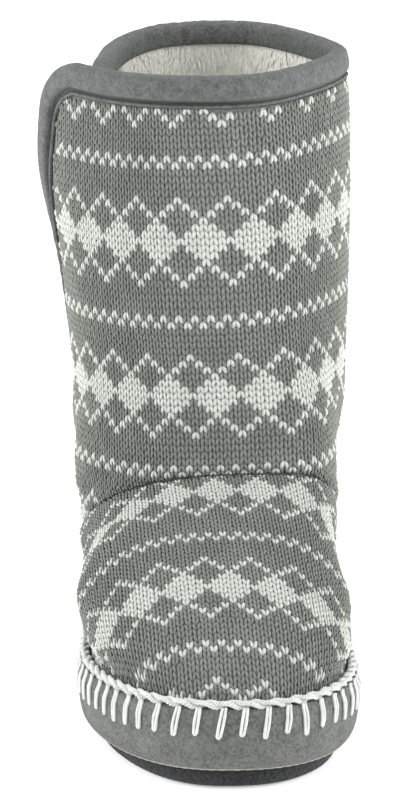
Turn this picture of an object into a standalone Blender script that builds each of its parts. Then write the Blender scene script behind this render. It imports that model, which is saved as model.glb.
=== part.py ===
"""Knitted bootie slipper for the right foot, toe towards -Y, in metres.

The origin is on the floor under the middle of the heel. A suede sidewall stands on a
thin textile outsole. The knitted vamp and the knitted wrap shaft are tucked behind its
top edge, where a thick yarn cord lies. A folded binding caps the shaft's collar and the
free edge of its wrap.
"""

import math
from collections import namedtuple

import bmesh
import bpy
import numpy as np

# Driving sizes, in metres
FOOT_LENGTH = 0.268  # suede sidewall from heel to toe
BALL_WIDTH = 0.109  # suede sidewall at its widest
HEEL_REACH = 0.046  # from the origin back to the sidewall at the heel
BOOT_HEIGHT = 0.250  # floor to the top of the collar
SHAFT_WIDTH = 0.120  # outside, at the upper shaft
SHAFT_DEPTH = 0.1345  # outside, front to back, at the upper shaft
INSTEP_HEIGHT = 0.0879  # floor to the top of the seam between vamp and shaft
VAMP_LENGTH = 0.126  # knitted toe to the top of that seam, along the floor
SLIT_HEIGHT = 0.105  # floor to the lower end of the wrap's opening
WRAP_CORNER_RADIUS = 0.020  # rounded top corner of the wrap

OUTSOLE_THICKNESS = 0.0085
OUTSOLE_INSET = 0.0084  # from the sidewall's widest line
OUTSOLE_EDGE_ROUND = 0.0012
INSOLE_THICKNESS = 0.0090
TOE_SPRING = 0.0025
ARCH_LIFT = 0.0012
SIDEWALL_HEIGHT = 0.0226
SIDEWALL_THICKNESS = 0.0030
KNIT_THICKNESS = 0.0035  # knit and its backing
TUCK_DEPTH = 0.0050  # knit held behind the sidewall's top edge
CORD_DIAMETER = 0.0036
BINDING_WIDTH = 0.0088
BINDING_THICKNESS = 0.0018
GAP = 0.0003  # between pieces that touch

# Places along the foot, as shares of its length from the heel
HEEL_ROUND = 0.17
TOE_ROUND = 0.27
END_ROUNDNESS = 2.25
ARCH_START, ARCH_END = 0.26, 0.58
SPRING_START = 0.74

# The seam between vamp and shaft runs from the instep down and back to the sidewall
SEAM_RAKE = 1.50  # metres back for each metre down
SEAM_SLANT = 0.09  # metres back for each metre towards the inner side
SEAM_FADE = 0.050  # height over which the shaft takes up the seam's outline

# The wrap: turns are degrees round the shaft from its front, positive to the inner side
WRAP_EDGE_TURN = -74.0
WRAP_EDGE_DRIFT = -32.0  # how far back the free edge moves down to the slit's end
WRAP_UNDERLAP = 38.0  # degrees of the back panel under the wrap
WRAP_EDGE_SPREAD = 75.0  # degrees over which the columns follow the drift
WRAP_STAND_OFF = 0.0060  # how far the wrap stands out at the collar
WRAP_STAND_START = 0.60  # share of the boot's height where it starts to stand out
WRAP_STAND_FULL = 0.84
WRAP_STAND_SPREAD = 34.0  # degrees over which it stands out
UNDERLAP_DIP_START = 145.0  # degrees before the free edge where the back panel dips in
UNDERLAP_DIP_END = 14.0
UNDERLAP_DIP_TOP = 0.0185  # how far in the back panel lies at the collar
LAP_FADE = 0.032  # height below the slit over which the lap fades out
LAP_TURN = 7.0  # degrees taken by the lap's step

PlanRow = namedtuple("PlanRow", "share axis inner outer upper_inner upper_outer")
PLAN = [  # half widths and axis as shares of the ball width, places as shares of the length
    PlanRow(0.00, 0.000, 0.390, 0.390, 0.400, 0.400),
    PlanRow(0.17, 0.014, 0.395, 0.395, 0.440, 0.440),
    PlanRow(0.36, 0.032, 0.405, 0.420, 0.442, 0.541),
    PlanRow(0.52, 0.042, 0.435, 0.455, 0.429, 0.536),
    PlanRow(0.66, 0.053, 0.490, 0.490, 0.498, 0.529),
    PlanRow(0.76, 0.065, 0.502, 0.498, 0.475, 0.480),
    PlanRow(0.90, 0.081, 0.502, 0.462, 0.460, 0.430),
    PlanRow(1.00, 0.088, 0.490, 0.430, 0.430, 0.400),
]

CrestRow = namedtuple("CrestRow", "back height shift inner_round outer_round")
CREST = [  # back from the toe as a share of the vamp's length, height of the instep's rise
    CrestRow(0.000, 0.000, 0.000, 2.20, 2.20),
    CrestRow(0.018, 0.130, 0.000, 2.20, 2.20),
    CrestRow(0.060, 0.215, 0.000, 2.25, 2.20),
    CrestRow(0.157, 0.375, 0.000, 2.35, 2.20),
    CrestRow(0.395, 0.640, 0.005, 2.50, 2.40),
    CrestRow(0.650, 0.815, 0.017, 2.63, 2.76),
    CrestRow(1.000, 1.000, 0.160, 2.71, 3.45),
    CrestRow(1.300, 1.120, 0.160, 2.71, 3.45),
    CrestRow(1.600, 1.200, 0.160, 2.71, 3.45),
]

ShaftRow = namedtuple("ShaftRow", "height axis half_width front back inner_round")
SHAFT = [  # heights of the boot, widths of the shaft's width, reaches of the shaft's depth
    ShaftRow(0.362, 0.034, 0.461, 0.677, 0.338, 2.30),
    ShaftRow(0.420, 0.033, 0.468, 0.668, 0.338, 2.25),
    ShaftRow(0.505, 0.029, 0.477, 0.660, 0.342, 2.15),
    ShaftRow(0.625, 0.020, 0.493, 0.655, 0.347, 1.95),
    ShaftRow(0.760, 0.013, 0.504, 0.655, 0.352, 1.80),
    ShaftRow(1.000, 0.010, 0.486, 0.672, 0.353, 1.55),
]
SHAFT_ROUNDNESS = 2.20

WallRow = namedtuple("WallRow", "inset height")
SIDEWALL = [  # from the top edge down the outside, under, and up the inside
    WallRow(0.40, 1.00),
    WallRow(0.05, 0.84),
    WallRow(0.00, 0.58),
    WallRow(0.12, 0.32),
    WallRow(0.60, 0.12),
    WallRow(1.55, 0.00),
    WallRow(2.80, 0.00),
    WallRow(2.80, 0.10),
    WallRow(1.75, 0.20),
    WallRow(1.22, 0.36),
    WallRow(1.00, 0.60),
    WallRow(1.05, 0.84),
    WallRow(1.40, 1.00),
]

# Faces round each form
PLAN_STEPS = 30
VAMP_STEPS_ACROSS, VAMP_STEPS_ALONG = 26, 18
SHAFT_COLUMNS, UNDERLAP_COLUMNS = 54, 6
ROWS_BELOW_SLIT, ROWS_ABOVE_SLIT = 6, 11
CORD_SIDES = 6
SEAM_SAMPLES = 241
VAMP_FOOT = 0.10  # part of the way over the vamp taken by each upright foot

KNIT_INSET = 0.4 * SIDEWALL_THICKNESS + SIDEWALL_THICKNESS + 2.0 * GAP
TUCK_HOLD = TUCK_DEPTH + CORD_DIAMETER + 2.0 * GAP  # height over which the knit stays upright
SIDEWALL_BASE = OUTSOLE_THICKNESS + GAP
KNIT_TOP = BOOT_HEIGHT - GAP - BINDING_THICKNESS
LAP_STEP = KNIT_THICKNESS + BINDING_THICKNESS + 5.0 * GAP


def smooth(value):
    """Eases from 0 to 1 as value goes from 0 to 1."""
    value = np.clip(value, 0.0, 1.0)
    return value * value * (3.0 - 2.0 * value)


def read(rows, column, at):
    """One column of a table at any place, on a smooth curve through its rows."""
    places = np.array([row[0] for row in rows])
    values = np.array([getattr(row, column) for row in rows])
    slopes = np.gradient(values, places)
    k = np.clip(np.searchsorted(places, at, side="right") - 1, 0, len(places) - 2)
    span = places[k + 1] - places[k]
    t = np.clip((at - places[k]) / span, 0.0, 1.0)
    rise = values[k + 1] - values[k]
    start = span * slopes[k] - rise
    end = rise - span * slopes[k + 1]
    return values[k] + rise * t + t * (1 - t) * (start * (1 - t) + end * t)


def signed_power(value, power):
    return np.sign(value) * np.abs(value) ** power


def end_rounding(share):
    """Narrows the plan to nothing at the heel and the toe, as rounded ends."""
    heel = np.clip(1.0 - share / HEEL_ROUND, 0.0, 1.0)
    toe = np.clip(1.0 - (1.0 - share) / TOE_ROUND, 0.0, 1.0)
    tip = np.maximum(heel, toe)
    return np.maximum(1.0 - tip**END_ROUNDNESS, 0.0) ** (1.0 / END_ROUNDNESS)


def plan_y(share, inset):
    return HEEL_REACH - inset - (FOOT_LENGTH - 2.0 * inset) * share


def plan_share(y, inset):
    return (HEEL_REACH - inset - y) / (FOOT_LENGTH - 2.0 * inset)


def plan_x(share, side, inset):
    """The sidewall's outline, moved in by inset. side is 1 for the inner side, -1 for the outer."""
    half = np.where(side > 0, read(PLAN, "inner", share), read(PLAN, "outer", share))
    return BALL_WIDTH * read(PLAN, "axis", share) + side * (BALL_WIDTH * half - inset) * end_rounding(share)


def floor_lift(y):
    """Height of the outsole's underside above the floor."""
    share = plan_share(y, 0.0)
    spring = TOE_SPRING * np.clip((share - SPRING_START) / (1.0 - SPRING_START), 0.0, 1.0) ** 2
    arch = np.clip((share - ARCH_START) / (ARCH_END - ARCH_START), 0.0, 1.0)
    return spring + ARCH_LIFT * np.sin(math.pi * arch) ** 2


def sidewall_top(y):
    return floor_lift(y) + SIDEWALL_BASE + SIDEWALL_HEIGHT


def plan_loop(inset):
    """Points round the plan from the heel along the inner side to the toe and back."""
    turn = np.arange(2 * PLAN_STEPS) * math.pi / PLAN_STEPS
    share = (1.0 - np.cos(turn)) / 2.0
    side = np.where(turn <= math.pi, 1.0, -1.0)
    return plan_x(share, side, inset), plan_y(share, inset)


def seam_y(x, z):
    """The surface that parts vamp and shaft."""
    seam_top = HEEL_REACH - FOOT_LENGTH + KNIT_INSET + VAMP_LENGTH
    return seam_top + SEAM_RAKE * (INSTEP_HEIGHT - z) + SEAM_SLANT * x


def seam_normal():
    normal = np.array([-SEAM_SLANT, 1.0, SEAM_RAKE])
    return normal / np.linalg.norm(normal)


def vamp_angle(over, rise, roundness):
    """Angle of the arch for a place over it, -1 at the outer foot and 1 at the inner one."""
    hold = np.minimum(TUCK_HOLD / np.maximum(rise, 1e-6), 0.8)
    angle = np.arcsin(hold ** (roundness / 2.0))
    foot = 1.0 - np.abs(over)
    upright = np.arcsin((hold * np.minimum(foot / VAMP_FOOT, 1.0)) ** (roundness / 2.0))
    arch = angle + (math.pi / 2.0 - angle) * (foot - VAMP_FOOT) / (1.0 - VAMP_FOOT)
    return np.where(foot < VAMP_FOOT, upright, arch)


def vamp_point(share, over):
    """Outer surface of the vamp, by share along the foot and place over it."""
    y = plan_y(share, KNIT_INSET)
    back = (FOOT_LENGTH - 2.0 * KNIT_INSET) * (1.0 - share) / VAMP_LENGTH
    base = sidewall_top(y) - TUCK_DEPTH
    toe_base = sidewall_top(plan_y(1.0, KNIT_INSET)) - TUCK_DEPTH
    rise = toe_base + (INSTEP_HEIGHT - toe_base) * read(CREST, "height", back) - base
    inner_side = smooth(over + 0.5)
    inner_round = read(CREST, "inner_round", back)
    outer_round = read(CREST, "outer_round", back)
    roundness = outer_round + (inner_round - outer_round) * inner_side
    angle = vamp_angle(over, rise, roundness)
    side = np.where(over >= 0, 1.0, -1.0)
    across = np.abs(np.cos(angle)) ** (2.0 / roundness)
    up = np.sin(angle) ** (2.0 / roundness)
    low = np.abs(plan_x(share, side, KNIT_INSET) - BALL_WIDTH * read(PLAN, "axis", share))
    upper = np.where(side > 0, read(PLAN, "upper_inner", share), read(PLAN, "upper_outer", share))
    full = np.maximum(BALL_WIDTH * upper * end_rounding(share), low)
    swell = smooth((rise * up - TUCK_HOLD) / (2.0 * TUCK_HOLD))
    reach = low + (full - low) * swell
    lean = np.clip((rise * up - TUCK_HOLD) / np.maximum(rise - TUCK_HOLD, 1e-6), 0.0, 1.0)
    shift = BALL_WIDTH * (read(PLAN, "axis", share) + read(CREST, "shift", back) * lean)
    return np.stack(np.broadcast_arrays(shift + side * reach * across, y, base + rise * up), -1)


def seam_share(over, clearance):
    """Share along the foot where the vamp meets the seam surface, for each place over it."""
    low, high = np.full_like(over, 0.15), np.full_like(over, 0.85)
    for _ in range(40):
        middle = (low + high) / 2.0
        point = vamp_point(middle, over)
        behind = point[..., 1] > seam_y(point[..., 0], point[..., 2]) - clearance
        low, high = np.where(behind, middle, low), np.where(behind, high, middle)
    return (low + high) / 2.0


def shaft_size(z):
    """The shaft's middle, half width, half depth and inner roundness at height z."""
    at = np.clip(z / BOOT_HEIGHT, SHAFT[0].height, 1.0)
    front = -SHAFT_DEPTH * read(SHAFT, "front", at)
    back = SHAFT_DEPTH * read(SHAFT, "back", at)
    half_width = SHAFT_WIDTH * read(SHAFT, "half_width", at)
    middle_x = SHAFT_WIDTH * read(SHAFT, "axis", at)
    return middle_x, (front + back) / 2.0, half_width, (back - front) / 2.0, read(SHAFT, "inner_round", at)


def ring_point(turn, z):
    """The plain oval of the shaft at height z, with turn in degrees from the front."""
    middle_x, middle_y, half_width, half_depth, inner_round = shaft_size(z)
    angle = np.radians(turn)
    inner_side = smooth(np.sin(angle))
    power = 2.0 / (SHAFT_ROUNDNESS + (inner_round - SHAFT_ROUNDNESS) * inner_side)
    x = middle_x + half_width * signed_power(np.sin(angle), power)
    y = middle_y - half_depth * signed_power(np.cos(angle), power)
    return np.stack(np.broadcast_arrays(x, y), -1)


def lower_edge_table():
    """The shaft's lower edge all round, against the turn: the seam, then the sidewall's tuck."""
    over = np.linspace(1.0, -1.0, SEAM_SAMPLES)
    seam = vamp_point(seam_share(over, 0.0), over)
    points = [seam]
    for side, foot in ((-1.0, seam[-1]), (1.0, seam[0])):
        share = plan_share(foot[1], KNIT_INSET) * np.linspace(1.0, 0.0, SEAM_SAMPLES) ** 2
        y = plan_y(share, KNIT_INSET)
        points.append(np.stack([plan_x(share, side, KNIT_INSET), y, sidewall_top(y) - TUCK_DEPTH], -1))
    edge = np.concatenate(points)
    middle_x, middle_y, half_width, half_depth, _ = shaft_size(0.0)
    power = SHAFT_ROUNDNESS / 2.0
    across = signed_power((edge[:, 0] - middle_x) / half_width, power)
    ahead = signed_power((middle_y - edge[:, 1]) / half_depth, power)
    turn = np.degrees(np.arctan2(across, ahead))
    order = np.argsort(turn)
    return turn[order], edge[order]


EDGE_TURN, EDGE_POINT = lower_edge_table()


def lower_edge(turn):
    """The point where the shaft ends below, for a turn in degrees."""
    wrapped = (turn + 180.0) % 360.0 - 180.0
    return np.stack([np.interp(wrapped, EDGE_TURN, EDGE_POINT[:, k], period=360.0) for k in range(3)], -1)


def wrap_drift(turn, z):
    """Columns near the wrap's free edge lean back towards the slit's end."""
    down = np.clip((KNIT_TOP - z) / (KNIT_TOP - SLIT_HEIGHT), 0.0, 1.0)
    ahead = np.abs(turn - WRAP_EDGE_TURN)
    behind = np.abs(turn - WRAP_EDGE_TURN - 360.0)
    near = 1.0 - np.minimum(ahead, behind) / WRAP_EDGE_SPREAD
    return WRAP_EDGE_DRIFT * down * smooth(near)


def wrap_offset(turn, z):
    """How far the wrap stands out, and the back panel under it lies in."""
    height = z / BOOT_HEIGHT
    stand = smooth((height - WRAP_STAND_START) / (WRAP_STAND_FULL - WRAP_STAND_START))
    near_edge = np.clip(1.0 - (turn - WRAP_EDGE_TURN) / WRAP_STAND_SPREAD, 0.0, 1.0)
    out = WRAP_STAND_OFF * stand * near_edge**2
    before_edge = WRAP_EDGE_TURN + 360.0 - turn
    dip = smooth((UNDERLAP_DIP_START - before_edge) / (UNDERLAP_DIP_START - UNDERLAP_DIP_END))
    up = np.clip((z - SLIT_HEIGHT) / (KNIT_TOP - SLIT_HEIGHT), 0.0, 1.0)
    fade = smooth((z - SLIT_HEIGHT + LAP_FADE) / LAP_FADE)
    depth = LAP_STEP * fade + (UNDERLAP_DIP_TOP - LAP_STEP) * up
    return out - depth * dip


def shaft_point(turn, z):
    """Outer surface of the shaft at a column's turn and a height."""
    real_turn = turn + wrap_drift(turn, z)
    edge = lower_edge(real_turn)
    ring = ring_point(real_turn, z)
    pull = edge[..., :2] - ring_point(real_turn, edge[..., 2])
    fade = 1.0 - smooth((z - edge[..., 2] - TUCK_HOLD) / SEAM_FADE)
    flat = ring + pull * fade[..., None]
    middle_x, middle_y, half_width, half_depth, _ = shaft_size(z)
    slope = np.stack([(ring[..., 0] - middle_x) / half_width**2, (ring[..., 1] - middle_y) / half_depth**2], -1)
    slope /= np.linalg.norm(slope, axis=-1, keepdims=True)
    flat = flat + slope * wrap_offset(turn, z)[..., None]
    return np.concatenate([flat, np.broadcast_to(z, flat.shape[:-1])[..., None]], -1)


def shaft_normal(turn, z):
    """The shaft's outward direction at a column's turn and a height."""
    near_turn, near_z = 0.5, 0.0005
    ahead = shaft_point(turn + near_turn, z) - shaft_point(turn - near_turn, z)
    upward = shaft_point(turn, z + near_z) - shaft_point(turn, z - near_z)
    normal = np.cross(ahead, upward)
    return normal / np.linalg.norm(normal, axis=-1, keepdims=True)


def shaft_top(turn):
    """Height of the knit's top edge, rounded down at the wrap's free corner."""
    arc = np.radians(np.clip(turn - WRAP_EDGE_TURN, 0.0, 90.0)) * SHAFT_DEPTH / 2.0
    left = np.clip(1.0 - arc / WRAP_CORNER_RADIUS, 0.0, 1.0)
    return KNIT_TOP - WRAP_CORNER_RADIUS * (1.0 - np.sqrt(1.0 - left**2))


def material(name, colour, roughness, metallic=0.0):
    made = bpy.data.materials.new(name)
    made.use_nodes = True
    shader = made.node_tree.nodes["Principled BSDF"]
    shader.inputs["Base Color"].default_value = (*colour, 1.0)
    shader.inputs["Roughness"].default_value = roughness
    shader.inputs["Metallic"].default_value = metallic
    return made


def build_object(name, points, faces, look, sharp_angle=math.radians(40.0)):
    """One closed, smooth-shaded object, with its faces pointing out."""
    grid = bmesh.new()
    corners = [grid.verts.new(point) for point in points]
    for face in faces:
        grid.faces.new([corners[k] for k in face])
    bmesh.ops.recalc_face_normals(grid, faces=grid.faces)
    mesh = bpy.data.meshes.new(name)
    grid.to_mesh(mesh)
    grid.free()
    mesh.materials.append(look)
    mesh.shade_smooth()
    mesh.set_sharp_from_angle(angle=sharp_angle)
    made = bpy.data.objects.new(name, mesh)
    bpy.context.scene.collection.objects.link(made)
    return made


def ring_sweep(sections):
    """Points and faces of closed sections, each joined to the next and the last to the first."""
    count, sides = sections.shape[:2]
    faces = []
    for i in range(count):
        for j in range(sides):
            k, m = (i + 1) % count, (j + 1) % sides
            faces.append((i * sides + j, i * sides + m, k * sides + m, k * sides + j))
    return sections.reshape(-1, 3), faces


def plate(name, inset, underside, thickness, edge_round, look):
    """A sole plate: strips from side to side, above and below, and an edge with small rounds."""
    rings = []
    for extra, height in ((edge_round, 0.0), (0.0, edge_round), (0.0, thickness - edge_round), (edge_round, thickness)):
        x, y = plan_loop(inset + extra)
        rings.append(np.stack([x, y, floor_lift(y) + underside + height], -1))
    points = np.concatenate(rings)
    around = 2 * PLAN_STEPS
    faces = []
    for level in range(3):
        for k in range(around):
            n = (k + 1) % around
            a, b = level * around, (level + 1) * around
            faces.append((a + k, a + n, b + n, b + k))
    for start in (0, 3 * around):
        faces.append((start, start + 1, start + around - 1))
        for k in range(1, PLAN_STEPS - 1):
            faces.append((start + k, start + k + 1, start + around - k - 1, start + around - k))
        faces.append((start + PLAN_STEPS - 1, start + PLAN_STEPS, start + PLAN_STEPS + 1))
    return build_object(name, points, faces, look)


def sidewall(look):
    """The suede wall that stands on the outsole's rim and is turned in under itself."""
    x, y = plan_loop(0.0)
    sections = []
    for row in SIDEWALL:
        ring_x, ring_y = plan_loop(row.inset * SIDEWALL_THICKNESS)
        z = floor_lift(ring_y) + SIDEWALL_BASE + row.height * SIDEWALL_HEIGHT
        sections.append(np.stack([ring_x, ring_y, z], -1))
    return build_object("sidewall", *ring_sweep(np.stack(sections, 1)), look)


def edge_cord(look):
    """The thick yarn that lies on the sidewall's top edge, against the knit."""
    radius = CORD_DIAMETER / 2.0
    sections = []
    for k in range(CORD_SIDES):
        angle = 2.0 * math.pi * (k + 0.5) / CORD_SIDES
        middle = KNIT_INSET - GAP - radius
        x, y = plan_loop(middle - radius * math.cos(angle))
        z = sidewall_top(y) + GAP + radius + radius * math.sin(angle)
        sections.append(np.stack([x, y, z], -1))
    return build_object("edge_cord", *ring_sweep(np.stack(sections, 1)), look)


def grid_normals(points):
    """Unit normals of a grid of points, with its first axis crossed with its second."""
    along = np.gradient(points, axis=0)
    across = np.gradient(points, axis=1)
    normal = np.cross(along, across)
    return normal / np.maximum(np.linalg.norm(normal, axis=-1, keepdims=True), 1e-12)


def without(direction, axis):
    """A direction with its part along axis taken out, at unit length."""
    flat = direction - (direction @ axis)[..., None] * axis
    return flat / np.linalg.norm(flat, axis=-1, keepdims=True)


def vamp(look):
    """The knitted front of the foot, open below and open to the shaft."""
    middle = np.linspace(VAMP_FOOT - 1.0, 1.0 - VAMP_FOOT, VAMP_STEPS_ACROSS - 1)
    over = np.concatenate([[1.0], middle[::-1], [-1.0]])
    start = seam_share(over, 0.65 * GAP)
    steps = (np.arange(VAMP_STEPS_ALONG) / VAMP_STEPS_ALONG)[:, None]
    share = 1.0 - (1.0 - start) * (1.0 - steps) ** 2
    outer = vamp_point(share, over[None, :])
    normal = -grid_normals(outer)
    up = np.array([0.0, 0.0, 1.0])
    normal[:, 0] = without(normal[:, 0], up)
    normal[:, -1] = without(normal[:, -1], up)
    normal[0] = without(normal[0], seam_normal())
    inner = outer - KNIT_THICKNESS * normal
    tip = vamp_point(np.array(1.0), np.array(0.0))
    inner_tip = tip + np.array([0.0, KNIT_THICKNESS, 0.0])
    rows, columns = outer.shape[:2]
    size = rows * columns
    points = np.concatenate([outer.reshape(-1, 3), inner.reshape(-1, 3), [tip, inner_tip]])
    faces = []
    for layer in (0, size):
        end = 2 * size + (1 if layer else 0)
        for i in range(rows - 1):
            for j in range(columns - 1):
                a = layer + i * columns + j
                faces.append((a, a + 1, a + columns + 1, a + columns))
        last = layer + (rows - 1) * columns
        for j in range(columns - 1):
            faces.append((last + j, last + j + 1, end))
    for j in range(columns - 1):
        faces.append((j, j + 1, size + j + 1, size + j))
    for j in (0, columns - 1):
        for i in range(rows - 1):
            a, b = i * columns + j, (i + 1) * columns + j
            faces.append((a, b, size + b, size + a))
        a = (rows - 1) * columns + j
        faces.append((a, 2 * size, 2 * size + 1, size + a))
    return build_object("vamp", points, faces, look)


def shaft_turns():
    """The turn of each column, closer together at the wrap's rounded corner."""
    even = np.linspace(0.0, 1.0, SHAFT_COLUMNS)
    main = WRAP_EDGE_TURN + (360.0 - LAP_TURN) * (0.5 * even + 0.5 * even**1.8)
    step = WRAP_UNDERLAP + LAP_TURN
    under = main[-1] + step * (np.arange(UNDERLAP_COLUMNS) + 1.0) / UNDERLAP_COLUMNS
    return np.concatenate([main, under])


def shaft(look):
    """The knitted shaft: a ring above the sidewall, then a wrap whose free edge laps the back panel."""
    turns = shaft_turns()
    rows = ROWS_BELOW_SLIT + ROWS_ABOVE_SLIT + 1
    low = lower_edge(turns + wrap_drift(turns, 0.0))[:, 2]
    below = (np.arange(ROWS_BELOW_SLIT) / ROWS_BELOW_SLIT)[:, None]
    below = below**1.3
    above = (np.arange(ROWS_ABOVE_SLIT + 1) / ROWS_ABOVE_SLIT)[:, None]
    slit = np.full(len(turns), SLIT_HEIGHT)
    under = np.arange(len(turns)) >= SHAFT_COLUMNS
    slit[under] += 2.0 * KNIT_THICKNESS * (turns[under] - turns[SHAFT_COLUMNS - 1]) / WRAP_UNDERLAP
    z = np.concatenate([low + (slit - low) * below, slit + (shaft_top(turns) - slit) * above])
    outer = shaft_point(turns[None, :], z)
    for j in range(SHAFT_COLUMNS):
        outer[0, j] = lower_edge(np.array(turns[j] + wrap_drift(turns[j], z[0, j])))
        on_seam = outer[0, j, 1] < seam_y(outer[0, j, 0], outer[0, j, 2]) + GAP
        outer[0, j, 1] += 0.65 * GAP if on_seam else 0.0
    normal = shaft_normals(outer, turns, z)
    inner = outer - KNIT_THICKNESS * normal
    size = outer.shape[0] * outer.shape[1]
    columns = len(turns)
    points = np.concatenate([outer.reshape(-1, 3), inner.reshape(-1, 3)])
    last, split = SHAFT_COLUMNS - 1, ROWS_BELOW_SLIT
    strips = [(j, j + 1, 0, rows - 1) for j in range(last)]
    strips += [(last, 0, 0, split)]
    strips += [(j, j + 1, split, rows - 1) for j in range(last, columns - 1)]
    faces = []
    for a, b, first, end in strips:
        for i in range(first, end):
            corners = (i * columns + a, i * columns + b, (i + 1) * columns + b, (i + 1) * columns + a)
            faces.append(corners)
            faces.append(tuple(size + k for k in corners))
        for i in (first, end):
            if (i == first and not (a < last and b <= last and first > 0)) or i == end:
                faces.append((i * columns + a, i * columns + b, size + i * columns + b, size + i * columns + a))
    for j in (0, columns - 1):
        for i in range(split, rows - 1):
            a, b = i * columns + j, (i + 1) * columns + j
            faces.append((a, b, size + b, size + a))
    used = sorted({k for face in faces for k in face})
    renumber = {k: n for n, k in enumerate(used)}
    faces = [tuple(renumber[k] for k in face) for face in faces]
    return build_object("shaft", points[used], faces, look)


def shaft_normals(outer, turns, z):
    """Directions through the shaft's wall, kept in the seam's surface and level at its other edges."""
    normal = shaft_normal(turns[None, :], z)
    up = np.array([0.0, 0.0, 1.0])
    on_seam = outer[0, :, 2] > sidewall_top(outer[0, :, 1]) - TUCK_DEPTH + GAP
    normal[0] = np.where(on_seam[:, None], without(normal[0], seam_normal()), without(normal[0], up))
    normal[-1] = without(normal[-1], up)
    return normal


def insole(look):
    inset = 2.8 * SIDEWALL_THICKNESS + GAP
    return plate("insole", inset, OUTSOLE_THICKNESS + GAP, INSOLE_THICKNESS, OUTSOLE_EDGE_ROUND, look)


def outsole(look):
    return plate("outsole", OUTSOLE_INSET, 0.0, OUTSOLE_THICKNESS, OUTSOLE_EDGE_ROUND, look)


def binding_stations():
    """Turn and height of stations along the knit's edge, and the last one's share to its next."""
    turns = shaft_turns()[::-1]
    collar = [(turn, float(shaft_top(np.array(turn)))) for turn in turns]
    down = np.linspace(collar[-1][1], SLIT_HEIGHT, ROWS_ABOVE_SLIT + 1)[1:]
    return np.array(collar + [(WRAP_EDGE_TURN, z) for z in down])


def collar_binding(look):
    """A folded strip over the edge of the knit: outside, top and inside."""
    turn, z = binding_stations().T
    edge = shaft_point(turn, z)
    normal = shaft_normal(turn, z)
    collar = slice(0, SHAFT_COLUMNS + UNDERLAP_COLUMNS)
    normal[collar] = without(normal[collar], np.array([0.0, 0.0, 1.0]))
    tangent = np.gradient(edge, axis=0)
    beyond = np.cross(tangent, normal)
    beyond /= np.linalg.norm(beyond, axis=1, keepdims=True)
    step = 1e-3
    by_turn = (shaft_point(turn + step, z) - shaft_point(turn - step, z)) / (2.0 * step)
    by_height = (shaft_point(turn, z + step) - shaft_point(turn, z - step)) / (2.0 * step)
    frames = np.stack([by_turn, by_height], -1)
    moves = (np.linalg.pinv(frames) @ (-beyond * (BINDING_WIDTH - BINDING_THICKNESS))[..., None])[..., 0]
    hem = shaft_point(turn + moves[:, 0], z + moves[:, 1])
    hem_normal = shaft_normal(turn + moves[:, 0], z + moves[:, 1])
    last_share = BINDING_WIDTH / 2.0 / (z[-2] - z[-1])
    for line in (edge, normal, beyond, hem, hem_normal):
        line[-1] += (line[-2] - line[-1]) * last_share
    slack, skin, wall = 2.5 * GAP, 2.5 * GAP + BINDING_THICKNESS, KNIT_THICKNESS
    bevel = 0.45 * BINDING_THICKNESS
    section = [
        hem + slack * hem_normal,
        hem + skin * hem_normal,
        edge + skin * normal + (skin - 2.0 * bevel) * beyond,
        edge + (skin - bevel) * normal + skin * beyond,
        edge - (wall + skin - bevel) * normal + skin * beyond,
        edge - (wall + skin) * normal + (skin - 2.0 * bevel) * beyond,
        hem - (wall + skin) * hem_normal,
        hem - (wall + slack) * hem_normal,
        edge - (wall + slack) * normal + GAP * beyond,
        edge + slack * normal + GAP * beyond,
    ]
    sections = np.stack(section, 1)
    count, sides = sections.shape[:2]
    points, faces = ring_sweep(sections)
    faces = [face for face in faces if face[0] // sides < count - 1]
    faces.append(tuple(range(sides)))
    faces.append(tuple((count - 1) * sides + k for k in range(sides)))
    return build_object("collar_binding", points, faces, look)


def main():
    for old in list(bpy.data.objects):
        bpy.data.objects.remove(old)
    knit = material("grey_knit", (0.27, 0.27, 0.25), 0.95)
    vamp_knit = material("grey_knit_vamp", (0.27, 0.27, 0.25), 0.95)
    outsole(material("charcoal_textile", (0.045, 0.047, 0.052), 0.9))
    insole(material("white_pile", (0.75, 0.74, 0.70), 0.95))
    sidewall(material("grey_suede", (0.22, 0.22, 0.21), 0.9))
    vamp(vamp_knit)
    shaft(knit)
    edge_cord(material("white_yarn", (0.82, 0.83, 0.82), 0.9))
    collar_binding(material("grey_fleece", (0.20, 0.21, 0.21), 0.95))


main()
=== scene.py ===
"""Dressing of the knitted bootie slipper: stitches, pile, binding, suede, yarn, light and camera."""

import math
from collections import namedtuple

import bmesh
import bpy
import numpy as np
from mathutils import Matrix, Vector


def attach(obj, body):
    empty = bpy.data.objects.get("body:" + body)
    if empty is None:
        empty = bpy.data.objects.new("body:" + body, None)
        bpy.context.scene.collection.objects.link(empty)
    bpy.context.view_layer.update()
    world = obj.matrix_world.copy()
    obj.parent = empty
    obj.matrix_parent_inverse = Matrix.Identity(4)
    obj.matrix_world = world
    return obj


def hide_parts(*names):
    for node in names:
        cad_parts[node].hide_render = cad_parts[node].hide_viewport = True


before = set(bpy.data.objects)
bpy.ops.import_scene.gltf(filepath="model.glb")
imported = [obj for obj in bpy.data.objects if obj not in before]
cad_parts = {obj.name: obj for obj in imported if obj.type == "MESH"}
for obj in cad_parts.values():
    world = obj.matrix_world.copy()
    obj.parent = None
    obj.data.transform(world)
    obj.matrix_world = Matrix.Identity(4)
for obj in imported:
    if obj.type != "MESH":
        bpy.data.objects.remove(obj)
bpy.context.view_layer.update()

SEED = 11
rng = np.random.default_rng(SEED)

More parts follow.
